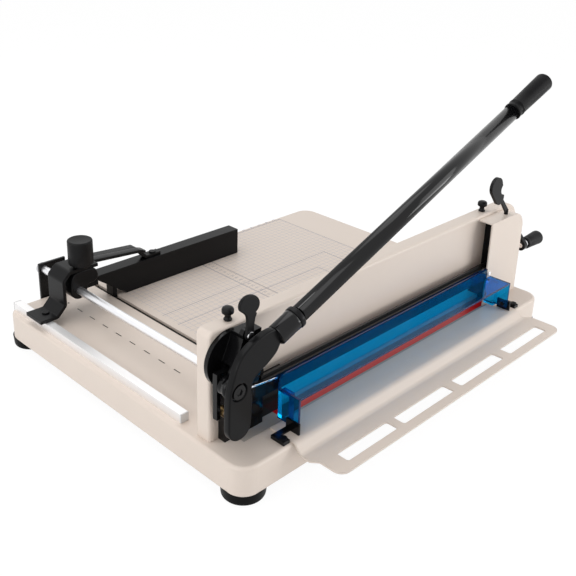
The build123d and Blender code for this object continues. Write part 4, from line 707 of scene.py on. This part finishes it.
def printed(name, spans, width, material):
    """Strips for straight lines given as (x0, y0, x1, y1): each line's own box, widened by half the width."""
    spans = np.asarray(spans, float)
    x0, x1 = np.minimum(spans[:, 0], spans[:, 2]), np.maximum(spans[:, 0], spans[:, 2])
    y0, y1 = np.minimum(spans[:, 1], spans[:, 3]), np.maximum(spans[:, 1], spans[:, 3])
    half = width / 2
    points, faces = line_quads(np.stack([x0 - half, x1 + half, y0 - half, y1 + half], axis=1))
    new_piece(name, points, faces, material, "frame", flat=range(len(faces)))


# Seven strokes of a digit in a cell one wide and two high, and the strokes of each digit
digit_strokes = {"top": (0, 2, 1, 2), "upper_left": (0, 1, 0, 2), "upper_right": (1, 1, 1, 2),
                 "middle": (0, 1, 1, 1), "lower_left": (0, 0, 0, 1), "lower_right": (1, 0, 1, 1),
                 "bottom": (0, 0, 1, 0)}
digit_parts = ["top upper_left upper_right lower_left lower_right bottom",
               "upper_right lower_right",
               "top upper_right middle lower_left bottom",
               "top upper_right middle lower_right bottom",
               "upper_left upper_right middle lower_right",
               "top upper_left middle lower_right bottom",
               "top upper_left middle lower_left lower_right bottom",
               "top upper_right lower_right",
               "top upper_left upper_right middle lower_left lower_right bottom",
               "top upper_left upper_right middle lower_right bottom"]


def number_lines(number, x, y, size):
    """Strokes of a whole number that starts at a point; each digit is size wide and twice as high."""
    spans = []
    for place, digit in enumerate(str(number)):
        left = x + place * size * digit_pace
        for part in digit_parts[int(digit)].split():
            a, b, c, d = digit_strokes[part]
            spans.append((left + a * size, y + b * size, left + c * size, y + d * size))
    return spans


def make_print():
    """Grid at 10 mm, sheet format lines, a ruler column with its numbers, and edge ticks on the table."""
    xs = np.arange(grid_left + first_column, grid_right, grid_pitch)
    ys = np.arange(grid_front + first_row, grid_back, grid_pitch)
    spans = [(x, grid_front, x, grid_back) for x in xs if not ruler_left < x < ruler_right]
    spans += [(a, y, b, y) for y in ys for a, b in ((grid_left, ruler_left), (ruler_right, grid_right))]
    printed("table_grid", spans, grid_width, print_ink)
    formats = [(grid_left, large_back, large_right + format_overlap, large_back),
               (grid_left, small_back, small_right, small_back),
               (large_right, large_back, large_right, grid_front),
               (small_right, small_back, small_right, grid_front),
               (ruler_left, grid_front, ruler_left, grid_back),
               (ruler_right, grid_front, ruler_right, grid_back),
               (grid_left, grid_back, grid_right, grid_back),
               (grid_right, grid_front, grid_right, grid_back)]
    printed("table_formats", formats, format_width, print_dark)
    fine = np.arange(grid_front + first_tick, grid_back, ruler_step)
    reaches = [long_tick if (y - grid_front - first_row) % grid_pitch == 0 else short_tick for y in fine]
    ticks = [(ruler_left, y, ruler_left + reach, y) for y, reach in zip(fine, reaches)]
    ticks += [(ruler_right - reach, y, ruler_right, y) for y, reach in zip(fine, reaches)]
    columns = np.arange(grid_left + first_column, grid_right, edge_step)
    ticks += [(x, grid_back - edge_tick, x, grid_back) for x in columns]
    for index, y in enumerate(ys):
        ticks += number_lines(index + 1, ruler_left + number_right, y - number_drop, ruler_number)
    numbered = np.arange(grid_left + first_edge_number, grid_right, 2 * grid_pitch)
    for index, x in enumerate(numbered):
        ticks += number_lines(2 * index + 2, x - edge_number_left, grid_back + edge_number_up, edge_number)
    printed("ruler_marks", ticks, mark_width, print_dark)


# Light, floor and camera; lengths in metres

floor_reach, floor_z, floor_grey, floor_roughness = 6.0, -0.0004, 0.9, 0.9
# How bright the floor glows for the camera and for reflections, and how much of the glow is mixed in
floor_glow, glow_share = 1.05, 0.9
# The surround's strength as light, and what the camera, reflections and the clear guard see on top of it
world_light, world_extra = 0.5, 0.5
# Each lamp: its place, the point that it looks at, its width and height, and its power in watts
lamps = {
    "key_above": ((-0.4, 0.6, 2.2), (0, 0, 0.05), 1.8, 1.8, 18),
    "right_front": ((1.3, -1.9, 1.25), (0.05, -0.1, 0.15), 1.4, 1.4, 11),
    "left_fill": ((-1.9, -0.5, 0.9), (0, 0, 0.1), 1.2, 1.2, 7),
    "front_strip": ((1.45, -2.15, 0.28), (0.1, -0.2, 0.2), 1.6, 0.6, 17),
    "left_kicker": ((-2.15, 0.5, 0.75), (-0.35, -0.2, 0.15), 0.25, 0.9, 6),
}


def make_floor():
    """Pale floor below the feet, brightened for the camera so that only the soft shadow shows."""
    mesh = bpy.data.meshes.new("floor")
    corners = [(x * floor_reach, y * floor_reach, floor_z) for x, y in ((-1, -1), (1, -1), (1, 1), (-1, 1))]
    mesh.from_pydata(corners, [], [(0, 1, 2, 3)])
    floor = bpy.data.objects.new("floor", mesh)
    bpy.context.scene.collection.objects.link(floor)
    material = bpy.data.materials.new("floor_white")
    material.use_nodes = True
    tree = material.node_tree
    shader = tree.nodes["Principled BSDF"]
    shader.inputs["Base Color"].default_value = (floor_grey, floor_grey, floor_grey, 1)
    shader.inputs["Roughness"].default_value = floor_roughness
    glow = tree.nodes.new("ShaderNodeEmission")
    glow.inputs["Color"].default_value = (1, 1, 1, 1)
    glow.inputs["Strength"].default_value = floor_glow
    mix = tree.nodes.new("ShaderNodeMixShader")
    path = tree.nodes.new("ShaderNodeLightPath")
    seen = math_node(tree, "MAXIMUM", path.outputs["Is Camera Ray"], path.outputs["Is Glossy Ray"])
    seen = math_node(tree, "MAXIMUM", seen, path.outputs["Is Transmission Ray"])
    amount = math_node(tree, "MULTIPLY", seen, glow_share)
    tree.links.new(amount, mix.inputs[0])
    tree.links.new(shader.outputs[0], mix.inputs[1])
    tree.links.new(glow.outputs[0], mix.inputs[2])
    tree.links.new(mix.outputs[0], tree.nodes["Material Output"].inputs["Surface"])
    mesh.materials.append(material)


def make_world():
    """White studio surround: bright to the camera and to reflections, softer as light."""
    world = bpy.data.worlds.new("studio")
    bpy.context.scene.world = world
    world.use_nodes = True
    tree = world.node_tree
    background = tree.nodes["Background"]
    background.inputs["Color"].default_value = (1, 1, 1, 1)
    path = tree.nodes.new("ShaderNodeLightPath")
    seen = math_node(tree, "MAXIMUM", path.outputs["Is Camera Ray"], path.outputs["Is Glossy Ray"])
    seen = math_node(tree, "MAXIMUM", seen, path.outputs["Is Transmission Ray"])
    extra = math_node(tree, "MULTIPLY", seen, world_extra)
    strength = math_node(tree, "ADD", extra, world_light)
    tree.links.new(strength, background.inputs["Strength"])


def add_area(name, place, target, width, height, power):
    """A rectangular area lamp that looks at a point."""
    data = bpy.data.lights.new(name, "AREA")
    data.shape = "RECTANGLE"
    data.size = width
    data.size_y = height
    data.energy = power
    lamp = bpy.data.objects.new(name, data)
    lamp.location = place
    lamp.rotation_euler = (Vector(target) - Vector(place)).to_track_quat("-Z", "Y").to_euler()
    bpy.context.scene.collection.objects.link(lamp)


def make_lights():
    """Soft lamps above, at the right front and at the left, a low strip for the handle, and a rim kicker."""
    for name, settings in lamps.items():
        add_area(name, *settings)


# The camera stands so far left of and before the base's near front corner, and above the table's top
camera_left, camera_before, camera_above = 0.536925, 0.573441, 0.620467
camera_place = (table_low.x - camera_left, table_low.y - camera_before, table_z + camera_above)
camera_heading_deg, camera_dip_deg, camera_roll_deg = 46.152, 21.547, 1.92
camera_lens, camera_sensor, camera_shift, camera_near = 53.154, 36, -0.1198, 0.05


def make_camera():
    """Camera at the photograph's angle; heading is measured from +Y towards +X."""
    heading, dip = math.radians(camera_heading_deg), math.radians(camera_dip_deg)
    forward = Vector((math.sin(heading) * math.cos(dip), math.cos(heading) * math.cos(dip), -math.sin(dip)))
    turn = forward.to_track_quat("-Z", "Y") @ Quaternion((0, 0, 1), math.radians(camera_roll_deg))
    data = bpy.data.cameras.new("photo_view")
    data.lens = camera_lens
    data.sensor_width = camera_sensor
    data.shift_y = camera_shift
    data.clip_start = camera_near
    camera = bpy.data.objects.new("photo_view", data)
    camera.location = camera_place
    camera.rotation_euler = turn.to_euler()
    bpy.context.scene.collection.objects.link(camera)
    bpy.context.scene.camera = camera


finish_nodes()
make_lever()
make_paddle()
make_strip()
make_sleeve()
make_guide_lip()
make_web()
make_knobs()
make_guard_edges()
make_linings()
make_print()
make_floor()
make_world()
make_lights()
make_camera()
bpy.context.scene.view_settings.view_transform = "Standard"
